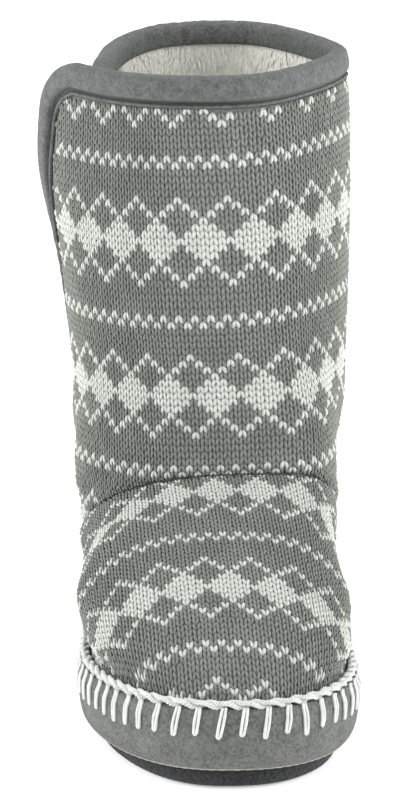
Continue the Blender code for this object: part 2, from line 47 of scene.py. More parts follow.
# Driving sizes of the part, in metres
FOOT_LENGTH = 0.268
BALL_WIDTH = 0.109
HEEL_REACH = 0.046
BOOT_HEIGHT = 0.250
SHAFT_WIDTH = 0.120
SHAFT_DEPTH = 0.1345
INSTEP_HEIGHT = 0.0879
VAMP_LENGTH = 0.126
SLIT_HEIGHT = 0.105
WRAP_CORNER_RADIUS = 0.020
OUTSOLE_THICKNESS = 0.0085
OUTSOLE_INSET = 0.0084
INSOLE_THICKNESS = 0.0090
TOE_SPRING = 0.0025
ARCH_LIFT = 0.0012
SIDEWALL_HEIGHT = 0.0226
SIDEWALL_THICKNESS = 0.0030
KNIT_THICKNESS = 0.0035
TUCK_DEPTH = 0.0050
CORD_DIAMETER = 0.0036
BINDING_WIDTH = 0.0088
BINDING_THICKNESS = 0.0018
GAP = 0.0003

HEEL_ROUND = 0.17
TOE_ROUND = 0.27
END_ROUNDNESS = 2.25
ARCH_START, ARCH_END = 0.26, 0.58
SPRING_START = 0.74
SEAM_RAKE = 1.50
SEAM_SLANT = 0.09
SEAM_FADE = 0.050
WRAP_EDGE_TURN = -74.0
WRAP_EDGE_DRIFT = -32.0
WRAP_UNDERLAP = 38.0
WRAP_EDGE_SPREAD = 75.0
WRAP_STAND_OFF = 0.0060
WRAP_STAND_START = 0.60
WRAP_STAND_FULL = 0.84
WRAP_STAND_SPREAD = 34.0
UNDERLAP_DIP_START = 145.0
UNDERLAP_DIP_END = 14.0
UNDERLAP_DIP_TOP = 0.0185
LAP_FADE = 0.032
LAP_TURN = 7.0


def table(columns, rows):
    """Rows whose columns have names."""
    row_type = namedtuple("Row", columns)
    return [row_type(*row) for row in rows]


PLAN = table("share axis inner outer upper_inner upper_outer", [
    (0.00, 0.000, 0.390, 0.390, 0.400, 0.400),
    (0.17, 0.014, 0.395, 0.395, 0.440, 0.440),
    (0.36, 0.032, 0.405, 0.420, 0.442, 0.541),
    (0.52, 0.042, 0.435, 0.455, 0.429, 0.536),
    (0.66, 0.053, 0.490, 0.490, 0.498, 0.529),
    (0.76, 0.065, 0.502, 0.498, 0.475, 0.480),
    (0.90, 0.081, 0.502, 0.462, 0.460, 0.430),
    (1.00, 0.088, 0.490, 0.430, 0.430, 0.400),
])

CREST = table("back height shift inner_round outer_round", [
    (0.000, 0.000, 0.000, 2.20, 2.20),
    (0.018, 0.130, 0.000, 2.20, 2.20),
    (0.060, 0.215, 0.000, 2.25, 2.20),
    (0.157, 0.375, 0.000, 2.35, 2.20),
    (0.395, 0.640, 0.005, 2.50, 2.40),
    (0.650, 0.815, 0.017, 2.63, 2.76),
    (1.000, 1.000, 0.160, 2.71, 3.45),
    (1.300, 1.120, 0.160, 2.71, 3.45),
    (1.600, 1.200, 0.160, 2.71, 3.45),
])

SHAFT = table("height axis half_width front back inner_round", [
    (0.362, 0.034, 0.461, 0.677, 0.338, 2.30),
    (0.420, 0.033, 0.468, 0.668, 0.338, 2.25),
    (0.505, 0.029, 0.477, 0.660, 0.342, 2.15),
    (0.625, 0.020, 0.493, 0.655, 0.347, 1.95),
    (0.760, 0.013, 0.504, 0.655, 0.352, 1.80),
    (1.000, 0.010, 0.486, 0.672, 0.353, 1.55),
])
SHAFT_ROUNDNESS = 2.20

SEAM_SAMPLES = 241
VAMP_FOOT = 0.10
KNIT_INSET = 0.4 * SIDEWALL_THICKNESS + SIDEWALL_THICKNESS + 2.0 * GAP
TUCK_HOLD = TUCK_DEPTH + CORD_DIAMETER + 2.0 * GAP
SIDEWALL_BASE = OUTSOLE_THICKNESS + GAP
KNIT_TOP = BOOT_HEIGHT - GAP - BINDING_THICKNESS
LAP_STEP = KNIT_THICKNESS + BINDING_THICKNESS + 5.0 * GAP
LAP_START = WRAP_EDGE_TURN + 360.0 - LAP_TURN

# Fall and outward swell of the shaft's top towards the wrap and under it
DROP_TURNS = [180.0, 200.0, 220.0, 240.0, 280.0, 292.0, 306.0]
DROPS = [0.0, 0.0003, 0.0016, 0.0028, 0.0030, 0.0055, 0.0140]
SWELL_TURNS = [258.0, 270.0, 280.0, 290.0, 330.0]
SWELLS = [0.0, 0.0008, 0.0026, 0.0045, 0.0050]

# Small fullness that the soft pieces have beyond the plain solids
TOE_ROUNDNESS_INNER, TOE_ROUNDNESS_OUTER = 2.42, 2.30
FOOT_BULGE, FOOT_BULGE_RISE = 0.0028, 0.005
FOOT_BULGE_TOP, FOOT_BULGE_FALL = 0.010, 0.026
BULGE_START, BULGE_GROWTH, BULGE_END, BULGE_FADE = 0.61, 0.10, 0.84, 0.12  # shares of the foot
WAIST, WAIST_SHARE, WAIST_SPREAD, WAIST_RISE = 0.0016, 0.57, 0.08, 0.010
INNER_TURN, INNER_SPREAD = 92.0, 42.0
INNER_FULLER, INNER_HEIGHT, INNER_REACH = 0.0007, 0.228, 0.016
INNER_TUCK, INNER_TUCK_REACH = 0.0006, 0.020
SIDE_BULGE, SIDE_BULGE_TURN, SIDE_BULGE_SPREAD = 0.0031, -80.0, 38.0
SIDE_BULGE_HEIGHT, SIDE_BULGE_REACH = 0.080, 0.022
SIDE_BULGE_START, SIDE_BULGE_GROWTH = 0.004, 0.014


# Surfaces of the part
def smooth(value):
    value = np.clip(value, 0.0, 1.0)
    return value * value * (3.0 - 2.0 * value)


def bell(value, middle, spread):
    return np.exp(-(((value - middle) / spread) ** 2))


def unit(vectors):
    return vectors / np.maximum(np.linalg.norm(vectors, axis=-1, keepdims=True), 1e-12)


def arc_lengths(path):
    return np.concatenate([[0.0], np.cumsum(np.linalg.norm(np.diff(path, axis=0), axis=1))])


def ahead_on(loop):
    """The way ahead at each point of a closed loop."""
    return np.roll(loop, -1, 0) - np.roll(loop, 1, 0)


def read(rows, column, at):
    """A column of a table between its rows, on a smooth curve that doesn't overshoot much."""
    places = np.array([row[0] for row in rows])
    values = np.array([getattr(row, column) for row in rows])
    slopes = np.gradient(values, places)
    k = np.clip(np.searchsorted(places, at, side="right") - 1, 0, len(places) - 2)
    span = places[k + 1] - places[k]
    t = np.clip((at - places[k]) / span, 0.0, 1.0)
    rise = values[k + 1] - values[k]
    start = span * slopes[k] - rise
    end = rise - span * slopes[k + 1]
    return values[k] + rise * t + t * (1 - t) * (start * (1 - t) + end * t)


def signed_power(value, power):
    return np.sign(value) * np.abs(value) ** power


def end_rounding(share, side):
    heel = np.clip(1.0 - share / HEEL_ROUND, 0.0, 1.0)
    toe = np.clip(1.0 - (1.0 - share) / TOE_ROUND, 0.0, 1.0)
    tip = np.maximum(heel, toe)
    toe_round = np.where(side > 0, TOE_ROUNDNESS_INNER, TOE_ROUNDNESS_OUTER)
    power = np.where(share > 0.5, toe_round, END_ROUNDNESS)
    return np.maximum(1.0 - tip**power, 0.0) ** (1.0 / power)


def plan_y(share, inset):
    return HEEL_REACH - inset - (FOOT_LENGTH - 2.0 * inset) * share


def plan_share(y, inset):
    return (HEEL_REACH - inset - y) / (FOOT_LENGTH - 2.0 * inset)


def plan_x(share, side, inset):
    half = np.where(side > 0, read(PLAN, "inner", share), read(PLAN, "outer", share))
    axis = BALL_WIDTH * read(PLAN, "axis", share)
    return axis + side * (BALL_WIDTH * half - inset) * end_rounding(share, side)


def toe_part(share):
    return np.clip((share - SPRING_START) / (1.0 - SPRING_START), 0.0, 1.0)


def floor_lift(y):
    share = plan_share(y, 0.0)
    spring = TOE_SPRING * toe_part(share) ** 2
    arch = np.clip((share - ARCH_START) / (ARCH_END - ARCH_START), 0.0, 1.0)
    return spring + ARCH_LIFT * np.sin(math.pi * arch) ** 2


def sidewall_top(y):
    return floor_lift(y) + SIDEWALL_BASE + SIDEWALL_HEIGHT


def plan_loop(inset, steps):
    turn = np.arange(2 * steps) * math.pi / steps
    share = (1.0 - np.cos(turn)) / 2.0
    side = np.where(turn <= math.pi, 1.0, -1.0)
    return plan_x(share, side, inset), plan_y(share, inset)


def seam_y(point):
    """How far back the seam is at a point's height and side."""
    seam_top = HEEL_REACH - FOOT_LENGTH + KNIT_INSET + VAMP_LENGTH
    return seam_top + SEAM_RAKE * (INSTEP_HEIGHT - point[..., 2]) + SEAM_SLANT * point[..., 0]


def vamp_angle(over, rise, roundness):
    hold = np.minimum(TUCK_HOLD / np.maximum(rise, 1e-6), 0.8)
    angle = np.arcsin(hold ** (roundness / 2.0))
    foot = 1.0 - np.abs(over)
    upright = np.arcsin((hold * np.clip(foot / VAMP_FOOT, 0.0, 1.0)) ** (roundness / 2.0))
    arch = angle + (math.pi / 2.0 - angle) * (foot - VAMP_FOOT) / (1.0 - VAMP_FOOT)
    return np.where(foot < VAMP_FOOT, upright, arch)


def vamp_point(share, over):
    y = plan_y(share, KNIT_INSET)
    back = (FOOT_LENGTH - 2.0 * KNIT_INSET) * (1.0 - share) / VAMP_LENGTH
    base = sidewall_top(y) - TUCK_DEPTH
    toe_base = sidewall_top(plan_y(1.0, KNIT_INSET)) - TUCK_DEPTH
    rise = toe_base + (INSTEP_HEIGHT - toe_base) * read(CREST, "height", back) - base
    inner_side = smooth(over + 0.5)
    inner_round = read(CREST, "inner_round", back)
    outer_round = read(CREST, "outer_round", back)
    roundness = outer_round + (inner_round - outer_round) * inner_side
    angle = vamp_angle(over, rise, roundness)
    side = np.where(over >= 0, 1.0, -1.0)
    across = np.abs(np.cos(angle)) ** (2.0 / roundness)
    up = np.sin(angle) ** (2.0 / roundness)
    low = np.abs(plan_x(share, side, KNIT_INSET) - BALL_WIDTH * read(PLAN, "axis", share))
    upper = np.where(side > 0, read(PLAN, "upper_inner", share), read(PLAN, "upper_outer", share))
    full = np.maximum(BALL_WIDTH * upper * end_rounding(share, side), low)
    swell = smooth((rise * up - TUCK_HOLD) / (2.0 * TUCK_HOLD))
    foot = rise * up - TUCK_HOLD
    window = smooth((share - BULGE_START) / BULGE_GROWTH) * (1.0 - smooth((share - BULGE_END) / BULGE_FADE))
    bulge = smooth(foot / FOOT_BULGE_RISE) * (1.0 - smooth((foot - FOOT_BULGE_TOP) / FOOT_BULGE_FALL))
    bulge = bulge * window
    waist = WAIST * (side > 0) * bell(share, WAIST_SHARE, WAIST_SPREAD) * smooth(foot / WAIST_RISE)
    reach = low + (full - low) * swell + FOOT_BULGE * bulge - waist
    lean = np.clip((rise * up - TUCK_HOLD) / np.maximum(rise - TUCK_HOLD, 1e-6), 0.0, 1.0)
    shift = BALL_WIDTH * (read(PLAN, "axis", share) + read(CREST, "shift", back) * lean)
    return np.stack(np.broadcast_arrays(shift + side * reach * across, y, base + rise * up), -1)


def seam_share(over, clearance):
    low, high = np.full_like(over, 0.15), np.full_like(over, 0.85)
    for _ in range(40):
        middle = (low + high) / 2.0
        point = vamp_point(middle, over)
        behind = point[..., 1] > seam_y(point) - clearance
        low, high = np.where(behind, middle, low), np.where(behind, high, middle)
    return (low + high) / 2.0


def shaft_size(z):
    at = np.clip(z / BOOT_HEIGHT, SHAFT[0].height, 1.0)
    front = -SHAFT_DEPTH * read(SHAFT, "front", at)
    back = SHAFT_DEPTH * read(SHAFT, "back", at)
    half_width = SHAFT_WIDTH * read(SHAFT, "half_width", at)
    middle_x = SHAFT_WIDTH * read(SHAFT, "axis", at)
    return middle_x, (front + back) / 2.0, half_width, (back - front) / 2.0, read(SHAFT, "inner_round", at)


def ring_point(turn, z):
    middle_x, middle_y, half_width, half_depth, inner_round = shaft_size(z)
    angle = np.radians(turn)
    inner_side = smooth(np.sin(angle))
    power = 2.0 / (SHAFT_ROUNDNESS + (inner_round - SHAFT_ROUNDNESS) * inner_side)
    x = middle_x + half_width * signed_power(np.sin(angle), power)
    y = middle_y - half_depth * signed_power(np.cos(angle), power)
    return np.stack(np.broadcast_arrays(x, y), -1)


def lower_edge_table():
    over = np.linspace(1.0, -1.0, SEAM_SAMPLES)
    seam = vamp_point(seam_share(over, 0.0), over)
    points = [seam]
    for side, foot in ((-1.0, seam[-1]), (1.0, seam[0])):
        share = plan_share(foot[1], KNIT_INSET) * np.linspace(1.0, 0.0, SEAM_SAMPLES) ** 2
        y = plan_y(share, KNIT_INSET)
        points.append(np.stack([plan_x(share, side, KNIT_INSET), y, sidewall_top(y) - TUCK_DEPTH], -1))
    edge = np.concatenate(points)
    middle_x, middle_y, half_width, half_depth, _ = shaft_size(0.0)
    power = SHAFT_ROUNDNESS / 2.0
    across = signed_power((edge[:, 0] - middle_x) / half_width, power)
    ahead = signed_power((middle_y - edge[:, 1]) / half_depth, power)
    turn = np.degrees(np.arctan2(across, ahead))
    order = np.argsort(turn)
    return turn[order], edge[order]


EDGE_TURN, EDGE_POINT = lower_edge_table()


def lower_edge(turn):
    wrapped = (turn + 180.0) % 360.0 - 180.0
    return np.stack([np.interp(wrapped, EDGE_TURN, EDGE_POINT[:, k], period=360.0) for k in range(3)], -1)


def wrap_drift(turn, z):
    down = np.clip((KNIT_TOP - z) / (KNIT_TOP - SLIT_HEIGHT), 0.0, 1.0)
    ahead = np.abs(turn - WRAP_EDGE_TURN)
    behind = np.abs(turn - WRAP_EDGE_TURN - 360.0)
    near = 1.0 - np.minimum(ahead, behind) / WRAP_EDGE_SPREAD
    return WRAP_EDGE_DRIFT * down * smooth(near)


def wrap_offset(turn, z):
    height = z / BOOT_HEIGHT
    stand = smooth((height - WRAP_STAND_START) / (WRAP_STAND_FULL - WRAP_STAND_START))
    near_edge = np.clip(1.0 - (turn - WRAP_EDGE_TURN) / WRAP_STAND_SPREAD, 0.0, 1.0)
    out = WRAP_STAND_OFF * stand * near_edge**2
    before_edge = WRAP_EDGE_TURN + 360.0 - turn
    dip = smooth((UNDERLAP_DIP_START - before_edge) / (UNDERLAP_DIP_START - UNDERLAP_DIP_END))
    up = np.clip((z - SLIT_HEIGHT) / (KNIT_TOP - SLIT_HEIGHT), 0.0, 1.0)
    fade = smooth((z - SLIT_HEIGHT + LAP_FADE) / LAP_FADE)
    depth = LAP_STEP * fade + (UNDERLAP_DIP_TOP - LAP_STEP) * up
    return out - depth * dip + np.interp(turn, SWELL_TURNS, SWELLS) * up**2


def shaft_point(turn, z):
    real_turn = turn + wrap_drift(turn, z)
    edge = lower_edge(real_turn)
    ring = ring_point(real_turn, z)
    pull = edge[..., :2] - ring_point(real_turn, edge[..., 2])
    fade = 1.0 - smooth((z - edge[..., 2] - TUCK_HOLD) / SEAM_FADE)
    flat = ring + pull * fade[..., None]
    middle_x, middle_y, half_width, half_depth, _ = shaft_size(z)
    across, ahead = (ring[..., 0] - middle_x) / half_width**2, (ring[..., 1] - middle_y) / half_depth**2
    slope = unit(np.stack([across, ahead], -1))
    outer = bell(real_turn, SIDE_BULGE_TURN, SIDE_BULGE_SPREAD) * bell(z, SIDE_BULGE_HEIGHT, SIDE_BULGE_REACH)
    outer = SIDE_BULGE * outer * smooth((z - edge[..., 2] - SIDE_BULGE_START) / SIDE_BULGE_GROWTH)
    fuller = INNER_FULLER * bell(z, INNER_HEIGHT, INNER_REACH)
    tuck = INNER_TUCK * smooth((z - INNER_HEIGHT) / INNER_TUCK_REACH)
    fullness = outer + bell(real_turn, INNER_TURN, INNER_SPREAD) * (fuller - tuck)
    flat = flat + slope * (wrap_offset(turn, z) + fullness)[..., None]
    return np.concatenate([flat, np.broadcast_to(z, flat.shape[:-1])[..., None]], -1)


def shaft_normal(turn, z):
    near_turn, near_z = 0.5, 0.0005
    ahead = shaft_point(turn + near_turn, z) - shaft_point(turn - near_turn, z)
    upward = shaft_point(turn, z + near_z) - shaft_point(turn, z - near_z)
    return unit(np.cross(ahead, upward))


def shaft_surface(turn, z):
    return shaft_point(turn, z), shaft_normal(turn, z)


def shaft_top(turn):
    arc = np.radians(np.clip(turn - WRAP_EDGE_TURN, 0.0, 90.0)) * SHAFT_DEPTH / 2.0
    left = np.clip(1.0 - arc / WRAP_CORNER_RADIUS, 0.0, 1.0)
    return KNIT_TOP - WRAP_CORNER_RADIUS * (1.0 - np.sqrt(1.0 - left**2))


def under_drop(turn):
    return np.interp(turn, DROP_TURNS, DROPS)


def shaft_dressed(turn, z):
    """Point and normal of the shaft; below the slit the lap's step is closed."""
    point, normal = shaft_surface(turn, z)
    begin, begin_normal = shaft_surface(np.minimum(turn, LAP_START), z)
    end = shaft_point(np.full_like(turn, WRAP_EDGE_TURN), z)
    step = (np.clip((turn - LAP_START) / LAP_TURN, 0.0, 1.0) * (z < SLIT_HEIGHT))[..., None]
    point = np.where(step > 0.0, begin + (end - begin) * step, point)
    return point, np.where(step > 0.0, begin_normal, normal)


def column_turn(real_turn, z):
    """The column's turn whose place, after the drift, is real_turn."""
    turn = np.array(real_turn, float)
    for _ in range(24):
        turn = real_turn - wrap_drift(turn, z)
    return turn


# Mesh helpers
def link(name, data):
    made = bpy.data.objects.new(name, data)
    bpy.context.scene.collection.objects.link(made)
    return made


def mesh_object(name, points, faces, look):
    mesh = bpy.data.meshes.new(name)
    sides = np.array([len(face) for face in faces])
    mesh.vertices.add(points.size // 3)
    mesh.vertices.foreach_set("co", points.astype(np.float32).ravel())
    mesh.loops.add(sides.sum())
    mesh.loops.foreach_set("vertex_index", np.concatenate(faces).astype(np.int32))
    mesh.polygons.add(len(sides))
    mesh.polygons.foreach_set("loop_start", (np.cumsum(sides) - sides).astype(np.int32))
    mesh.update(calc_edges=True)
    mesh.materials.append(look)
    mesh.shade_smooth()
    return link(name, mesh)


def grid_faces(rows, columns, wrap_rows=False, wrap_columns=False, flip=False):
    i = np.arange(rows if wrap_rows else rows - 1)
    j = np.arange(columns if wrap_columns else columns - 1)
    i, j = np.meshgrid(i, j, indexing="ij")
    k, m = (i + 1) % rows, (j + 1) % columns
    faces = np.stack([i * columns + j, i * columns + m, k * columns + m, k * columns + j], -1).reshape(-1, 4)
    return faces[:, ::-1] if flip else faces


def copies(template, count, size):
    """Faces of many like pieces, each with this number of points."""
    return (template[None] + (np.arange(count) * size)[:, None, None]).reshape(-1, template.shape[1])


def tube(path, radius, sides, closed=False, reference=(0.0, 0.0, 1.0)):
    """A round tube along a path that stays away from the reference direction; radius may be an array.

    An open tube has flat ends and an even number of sides.
    """
    path = np.asarray(path, float)
    count = len(path)
    tangent = unit(ahead_on(path) if closed else np.gradient(path, axis=0))
    side = unit(np.cross(tangent, reference))
    lift = np.cross(side, tangent)
    angle = math.tau * np.arange(sides) / sides
    radius = np.broadcast_to(radius, count)
    ring = side[:, None] * np.cos(angle)[None, :, None] + lift[:, None] * np.sin(angle)[None, :, None]
    points = path[:, None] + ring * radius[:, None, None]
    faces = grid_faces(count, sides, closed, True, flip=True)
    if not closed:
        k = np.arange(sides // 2 - 1)
        cap = np.stack([k, k + 1, sides - k - 2, sides - k - 1], -1)
        faces = np.concatenate([faces, cap, cap[:, ::-1] + (count - 1) * sides])
    return points.reshape(-1, 3), faces


THIRDS = (0.0, 2.0944, 4.1888)
CONE_POINTS = 7
CONE_FACES = [(k, (k + 1) % 3, 3 + (k + 1) % 3) for k in range(3)]
CONE_FACES += [(k, 3 + (k + 1) % 3, 3 + k) for k in range(3)]
CONE_FACES += [(3 + k, 3 + (k + 1) % 3, 6) for k in range(3)]


def cones(root, middle, tip, across, third, width, middle_share):
    """Thin bent cones with three sides, open at the root."""
    rings = [centre + width * share * (across * math.cos(a) + third * math.sin(a))
             for centre, share in ((root, 1.0), (middle, middle_share)) for a in THIRDS]
    return np.stack(rings + [tip], 1), copies(np.array(CONE_FACES), len(root), CONE_POINTS)


def join(parts):
    """Points and quads of many pieces as one."""
    points, faces, start = [], [], 0
    for some_points, some_faces in parts:
        points.append(some_points)
        faces.append(some_faces + start)
        start += len(some_points)
    return np.concatenate(points), np.concatenate(faces)


def build_piece(name, points, faces, look, slot, *nodes):
    piece = mesh_object(name, points, faces, look)
    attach(piece, "root")
    if nodes:
        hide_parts(*nodes)
    return piece


# Materials
def set_inputs(node, values):
    for name, value in values.items():
        node.inputs[name].default_value = value


def new_node(nodes, kind, values):
    node = nodes.new("ShaderNode" + kind)
    set_inputs(node, values)
    return node


def fibre_material(name, dark, light, fine=1400.0, coarse=90.0, bump=0.00025, sheen=0.08,
                   stretch=(1.0, 1.0, 1.0), patch=0.35):
    """Yarn, pile or nap: fine fibres over slow patches of tone, with the same fibres as relief."""
    made = bpy.data.materials.new(name)
    made.use_nodes = True
    nodes = made.node_tree.nodes
    shader = nodes["Principled BSDF"]
    set_inputs(shader, {"Roughness": 0.95, "Specular IOR Level": 0.25,
                        "Sheen Weight": sheen, "Sheen Roughness": 0.6})
    place = new_node(nodes, "TexCoord", {})
    mapping = new_node(nodes, "Mapping", {"Scale": stretch})
    fibres = new_node(nodes, "TexNoise", {"Scale": fine, "Detail": 3.0, "Roughness": 0.6})
    patches = new_node(nodes, "TexNoise", {"Scale": coarse, "Detail": 2.0})
    blend = new_node(nodes, "Mix", {"Factor": patch})
    ramp = new_node(nodes, "ValToRGB", {})
    for stop, position, colour in zip(ramp.color_ramp.elements, (0.30, 0.70), (dark, light)):
        stop.position = position
        stop.color = (*colour, 1.0)
    relief = new_node(nodes, "Bump", {"Distance": bump, "Strength": 0.8})
    for source, output, target, socket in (
            (place, "Object", mapping, "Vector"), (mapping, "Vector", fibres, "Vector"),
            (place, "Object", patches, "Vector"), (fibres, "Fac", blend, "A"), (patches, "Fac", blend, "B"),
            (blend, "Result", ramp, "Fac"), (ramp, "Color", shader, "Base Color"),
            (fibres, "Fac", relief, "Height"), (relief, "Normal", shader, "Normal")):
        made.node_tree.links.new(source.outputs[output], target.inputs[socket])
    return made


GREY_YARN = fibre_material("grey_yarn", (0.127, 0.133, 0.118), (0.226, 0.233, 0.212))
WHITE_YARN = fibre_material("white_yarn_knit", (0.40, 0.414, 0.382), (0.555, 0.566, 0.534))
# Backing shell under the stitches, darker than the grey yarn so the gaps between stitches read dark: painted
# shade
PAINTED_SHADE_GROUND = fibre_material("knit_ground_painted_shade", (0.090, 0.094, 0.084), (0.150, 0.155, 0.141))
PILE = fibre_material("pile", (0.56, 0.56, 0.51), (0.74, 0.74, 0.69), fine=700.0, stretch=(1.0, 1.0, 0.3),
                      bump=0.0006, sheen=0.1)
TUFTS = fibre_material("pile_locks", (0.66, 0.66, 0.60), (0.84, 0.84, 0.775), fine=500.0, bump=0.00005,
                       sheen=0.1)
FLEECE = fibre_material("fleece", (0.044, 0.047, 0.046), (0.140, 0.146, 0.143), fine=850.0, coarse=260.0,
                        bump=0.0012, sheen=0.10)
# Near-black yarn for thin tubes beside the binding's roll: painted shade lines where the roll's shadow falls
PAINTED_SHADE_LINE = fibre_material("binding_painted_shade_line", (0.030, 0.031, 0.030), (0.065, 0.067, 0.065))
SUEDE = fibre_material("suede", (0.050, 0.053, 0.049), (0.172, 0.177, 0.166), fine=800.0, coarse=150.0,
                       bump=0.0016, patch=0.30)
CUT_EDGE = fibre_material("suede_cut_edge", (0.24, 0.23, 0.20), (0.46, 0.44, 0.38), fine=900.0, bump=0.0004)
EDGE_YARN = fibre_material("edge_yarn", (0.45, 0.475, 0.465), (0.66, 0.675, 0.66), fine=1600.0, coarse=300.0,
                           bump=0.0003)
TEXTILE = fibre_material("textile", (0.004, 0.0045, 0.005), (0.040, 0.042, 0.047), fine=800.0, bump=0.0014,
                         patch=0.15)

# Knit chart
CHART_ROWS, CHART_COLUMNS = 23, 6
DIAMOND_HALF = 3


def is_white(column, row):
    """Diamonds with a zigzag above and below, and two rows of dots between the bands."""
    away = np.abs((column + CHART_COLUMNS // 2) % CHART_COLUMNS - CHART_COLUMNS // 2)
    band = (row + CHART_ROWS // 2) % CHART_ROWS - CHART_ROWS // 2
    diamond = np.abs(band) <= DIAMOND_HALF - away
    zigzag = np.abs(band) == DIAMOND_HALF + away
    even = column % 2 == 0
    dots = ((band == CHART_ROWS // 2) & even) | ((band == -(CHART_ROWS // 2)) & ~even)
    return diamond | zigzag | dots


# Across and half width in columns, along in rows from the foot to the apex, heights in metres
LEG = table("across along height half_width half_thick", [
    (0.38, -0.66, 0.00000, 0.110, 0.00030),
    (0.305, -0.25, 0.00036, 0.200, 0.00050),
    (0.215, 0.21, 0.00036, 0.200, 0.00050),
    (0.09, 0.64, -0.00012, 0.105, 0.00030),
])
LEG_SECTION = [(1.0, -0.12), (0.0, 0.95), (-1.0, -0.12)]  # across and height, as shares
LEG_SIDES = len(LEG_SECTION)
LEG_JITTER, LEG_SWELL = 0.028, 0.12
YARNS = table("name look width white", [("grey", GREY_YARN, 1.12, False), ("white", WHITE_YARN, 1.36, True)])


def chart_cells(columns, rows):
    """Column and row of every cell between two ends each way."""
    cells = np.meshgrid(np.arange(*columns), np.arange(*rows), indexing="ij")
    return [cell.ravel().astype(float) for cell in cells]


def by_yarn(columns, rows, grey_slot):
    """Each yarn with its slot and the cells that it knits."""
    white = is_white(columns, rows)
    for yarn in YARNS:
        chosen = white == yarn.white
        yield yarn, "white_yarn" if yarn.white else grey_slot, columns[chosen], rows[chosen]


def leg_template():
    """Across, along and height of a leg's points, for the right-hand leg with its apex up."""
    rings = [(ring.across + ring.half_width * across, ring.along, ring.height + ring.half_thick * height)
             for ring in LEG for across, height in LEG_SECTION]
    quads = grid_faces(len(LEG), LEG_SIDES, False, True)
    faces = np.concatenate([quads[:, [0, 1, 2]], quads[:, [0, 2, 3]]])
    last = (len(LEG) - 1) * LEG_SIDES
    caps = np.array([[2, 1, 0], [last, last + 1, last + 2]])
    return np.array(rings), np.concatenate([faces, caps])


LEG_POINTS, LEG_FACES = leg_template()
LEG_MIDDLES = np.repeat([ring.across for ring in LEG], LEG_SIDES)


def leg_cells(columns, rows, apex, width):
    """Column, row and height of every point of both legs of each cell. apex is 1 up, -1 down."""
    side = np.array([1.0, -1.0])
    count = len(columns)
    jitter = rng.normal(0.0, LEG_JITTER, (count, 2, 2))
    swell = 1.0 + rng.normal(0.0, LEG_SWELL, (count, 2, 1))
    across = (LEG_MIDDLES + (LEG_POINTS[:, 0] - LEG_MIDDLES) * width)[None, None] * side[None, :, None]
    across = across + jitter[..., :1]
    along = LEG_POINTS[:, 1][None, None] * apex + jitter[..., 1:]
    height = LEG_POINTS[:, 2][None, None] * swell
    return columns[:, None, None] + across, rows[:, None, None] - along, height


def leg_faces(count):
    """Faces of both legs of each cell; the left-hand leg is mirrored, so its faces turn round."""
    size = len(LEG_POINTS)
    both = np.concatenate([LEG_FACES[:, ::-1], LEG_FACES + size])
    return copies(both, count, 2 * size)


# Shaft knit
KNIT_HEIGHT = -0.0008  # the legs' base line, from the part's surface
RING_HEIGHT = 0.170
RING_TURNS = np.linspace(-180.0, 400.0, 2321)
RING_ARCS = arc_lengths(ring_point(RING_TURNS, np.full_like(RING_TURNS, RING_HEIGHT)))
CHART_TURN = 0.7
RING_ARCS -= np.interp(CHART_TURN, RING_TURNS, RING_ARCS)
PERIMETER = np.interp(180.0, RING_TURNS, RING_ARCS) - RING_ARCS[0]
COLUMNS_ROUND, COLUMNS_FRONT = 122, 42
FRONT_COLUMNS = [-24.0, -18.0, -12.0, -6.0, 0.0, 6.0, 12.0, 18.0]
FRONT_ARCS = [-0.0735, -0.0540, -0.0360, -0.0199, -0.0008, 0.0197, 0.0412, 0.0607]
SHAFT_ROWS = [-23.0, -17.0, -11.5, 0.0, 11.5, 23.0, 34.5, 58.0]
SHAFT_HEIGHTS = [0.2478, 0.2312, 0.2160, 0.1838, 0.1508, 0.1206, 0.0896, 0.0250]
TILT, TILT_REACH = 0.033, 0.080
LEAN_BELOW, LEAN_ABOVE, LEAN_WIDTH, LEAN_HEIGHT = 0.045, 0.072, 0.032, 0.1834


def column_arc(column):
    """Distance round the shaft; columns are spread unevenly over the front and evenly behind."""
    back_pitch = (PERIMETER - (FRONT_ARCS[-1] - FRONT_ARCS[0])) / (COLUMNS_ROUND - COLUMNS_FRONT)
    first, last = FRONT_COLUMNS[0], FRONT_COLUMNS[-1]
    arc = np.interp(column, FRONT_COLUMNS, FRONT_ARCS)
    arc = np.where(column > last, FRONT_ARCS[-1] + back_pitch * (column - last), arc)
    return np.where(column < first, FRONT_ARCS[0] + back_pitch * (column - first), arc)


def row_tilt(arc):
    """Rows rise to the inner side across the front, and come back round the heel side."""
    place = (arc + PERIMETER / 2.0) % PERIMETER - PERIMETER / 2.0
    back = PERIMETER / 2.0 - TILT_REACH
    fall = TILT_REACH * (1.0 - (np.abs(place) - TILT_REACH) / back)
    return TILT * np.sign(place) * np.where(np.abs(place) < TILT_REACH, np.abs(place), fall)


def shaft_cell_place(column, row):
    arc = column_arc(column)
    z = np.interp(row, SHAFT_ROWS, SHAFT_HEIGHTS) + row_tilt(arc)
    lean = np.where(z > LEAN_HEIGHT, LEAN_ABOVE, LEAN_BELOW)
    arc = arc + lean * bell(arc, 0.0, LEAN_WIDTH) * (LEAN_HEIGHT - z)
    real_turn = np.interp(arc, RING_ARCS, RING_TURNS)
    return column_turn(real_turn, z), real_turn, z


def edge_distance(turn, z):
    """Distance in from the knit's bound edge: the collar, the rounded corner and the free edge."""
    arc = np.radians(turn - WRAP_EDGE_TURN) * SHAFT_DEPTH / 2.0
    down = KNIT_TOP - under_drop(turn) - z
    corner = WRAP_CORNER_RADIUS - np.hypot(WRAP_CORNER_RADIUS - arc, WRAP_CORNER_RADIUS - down)
    in_corner = (arc < WRAP_CORNER_RADIUS) & (down < WRAP_CORNER_RADIUS)
    return np.where(in_corner, corner, np.where(z > SLIT_HEIGHT, np.minimum(arc, down), down))


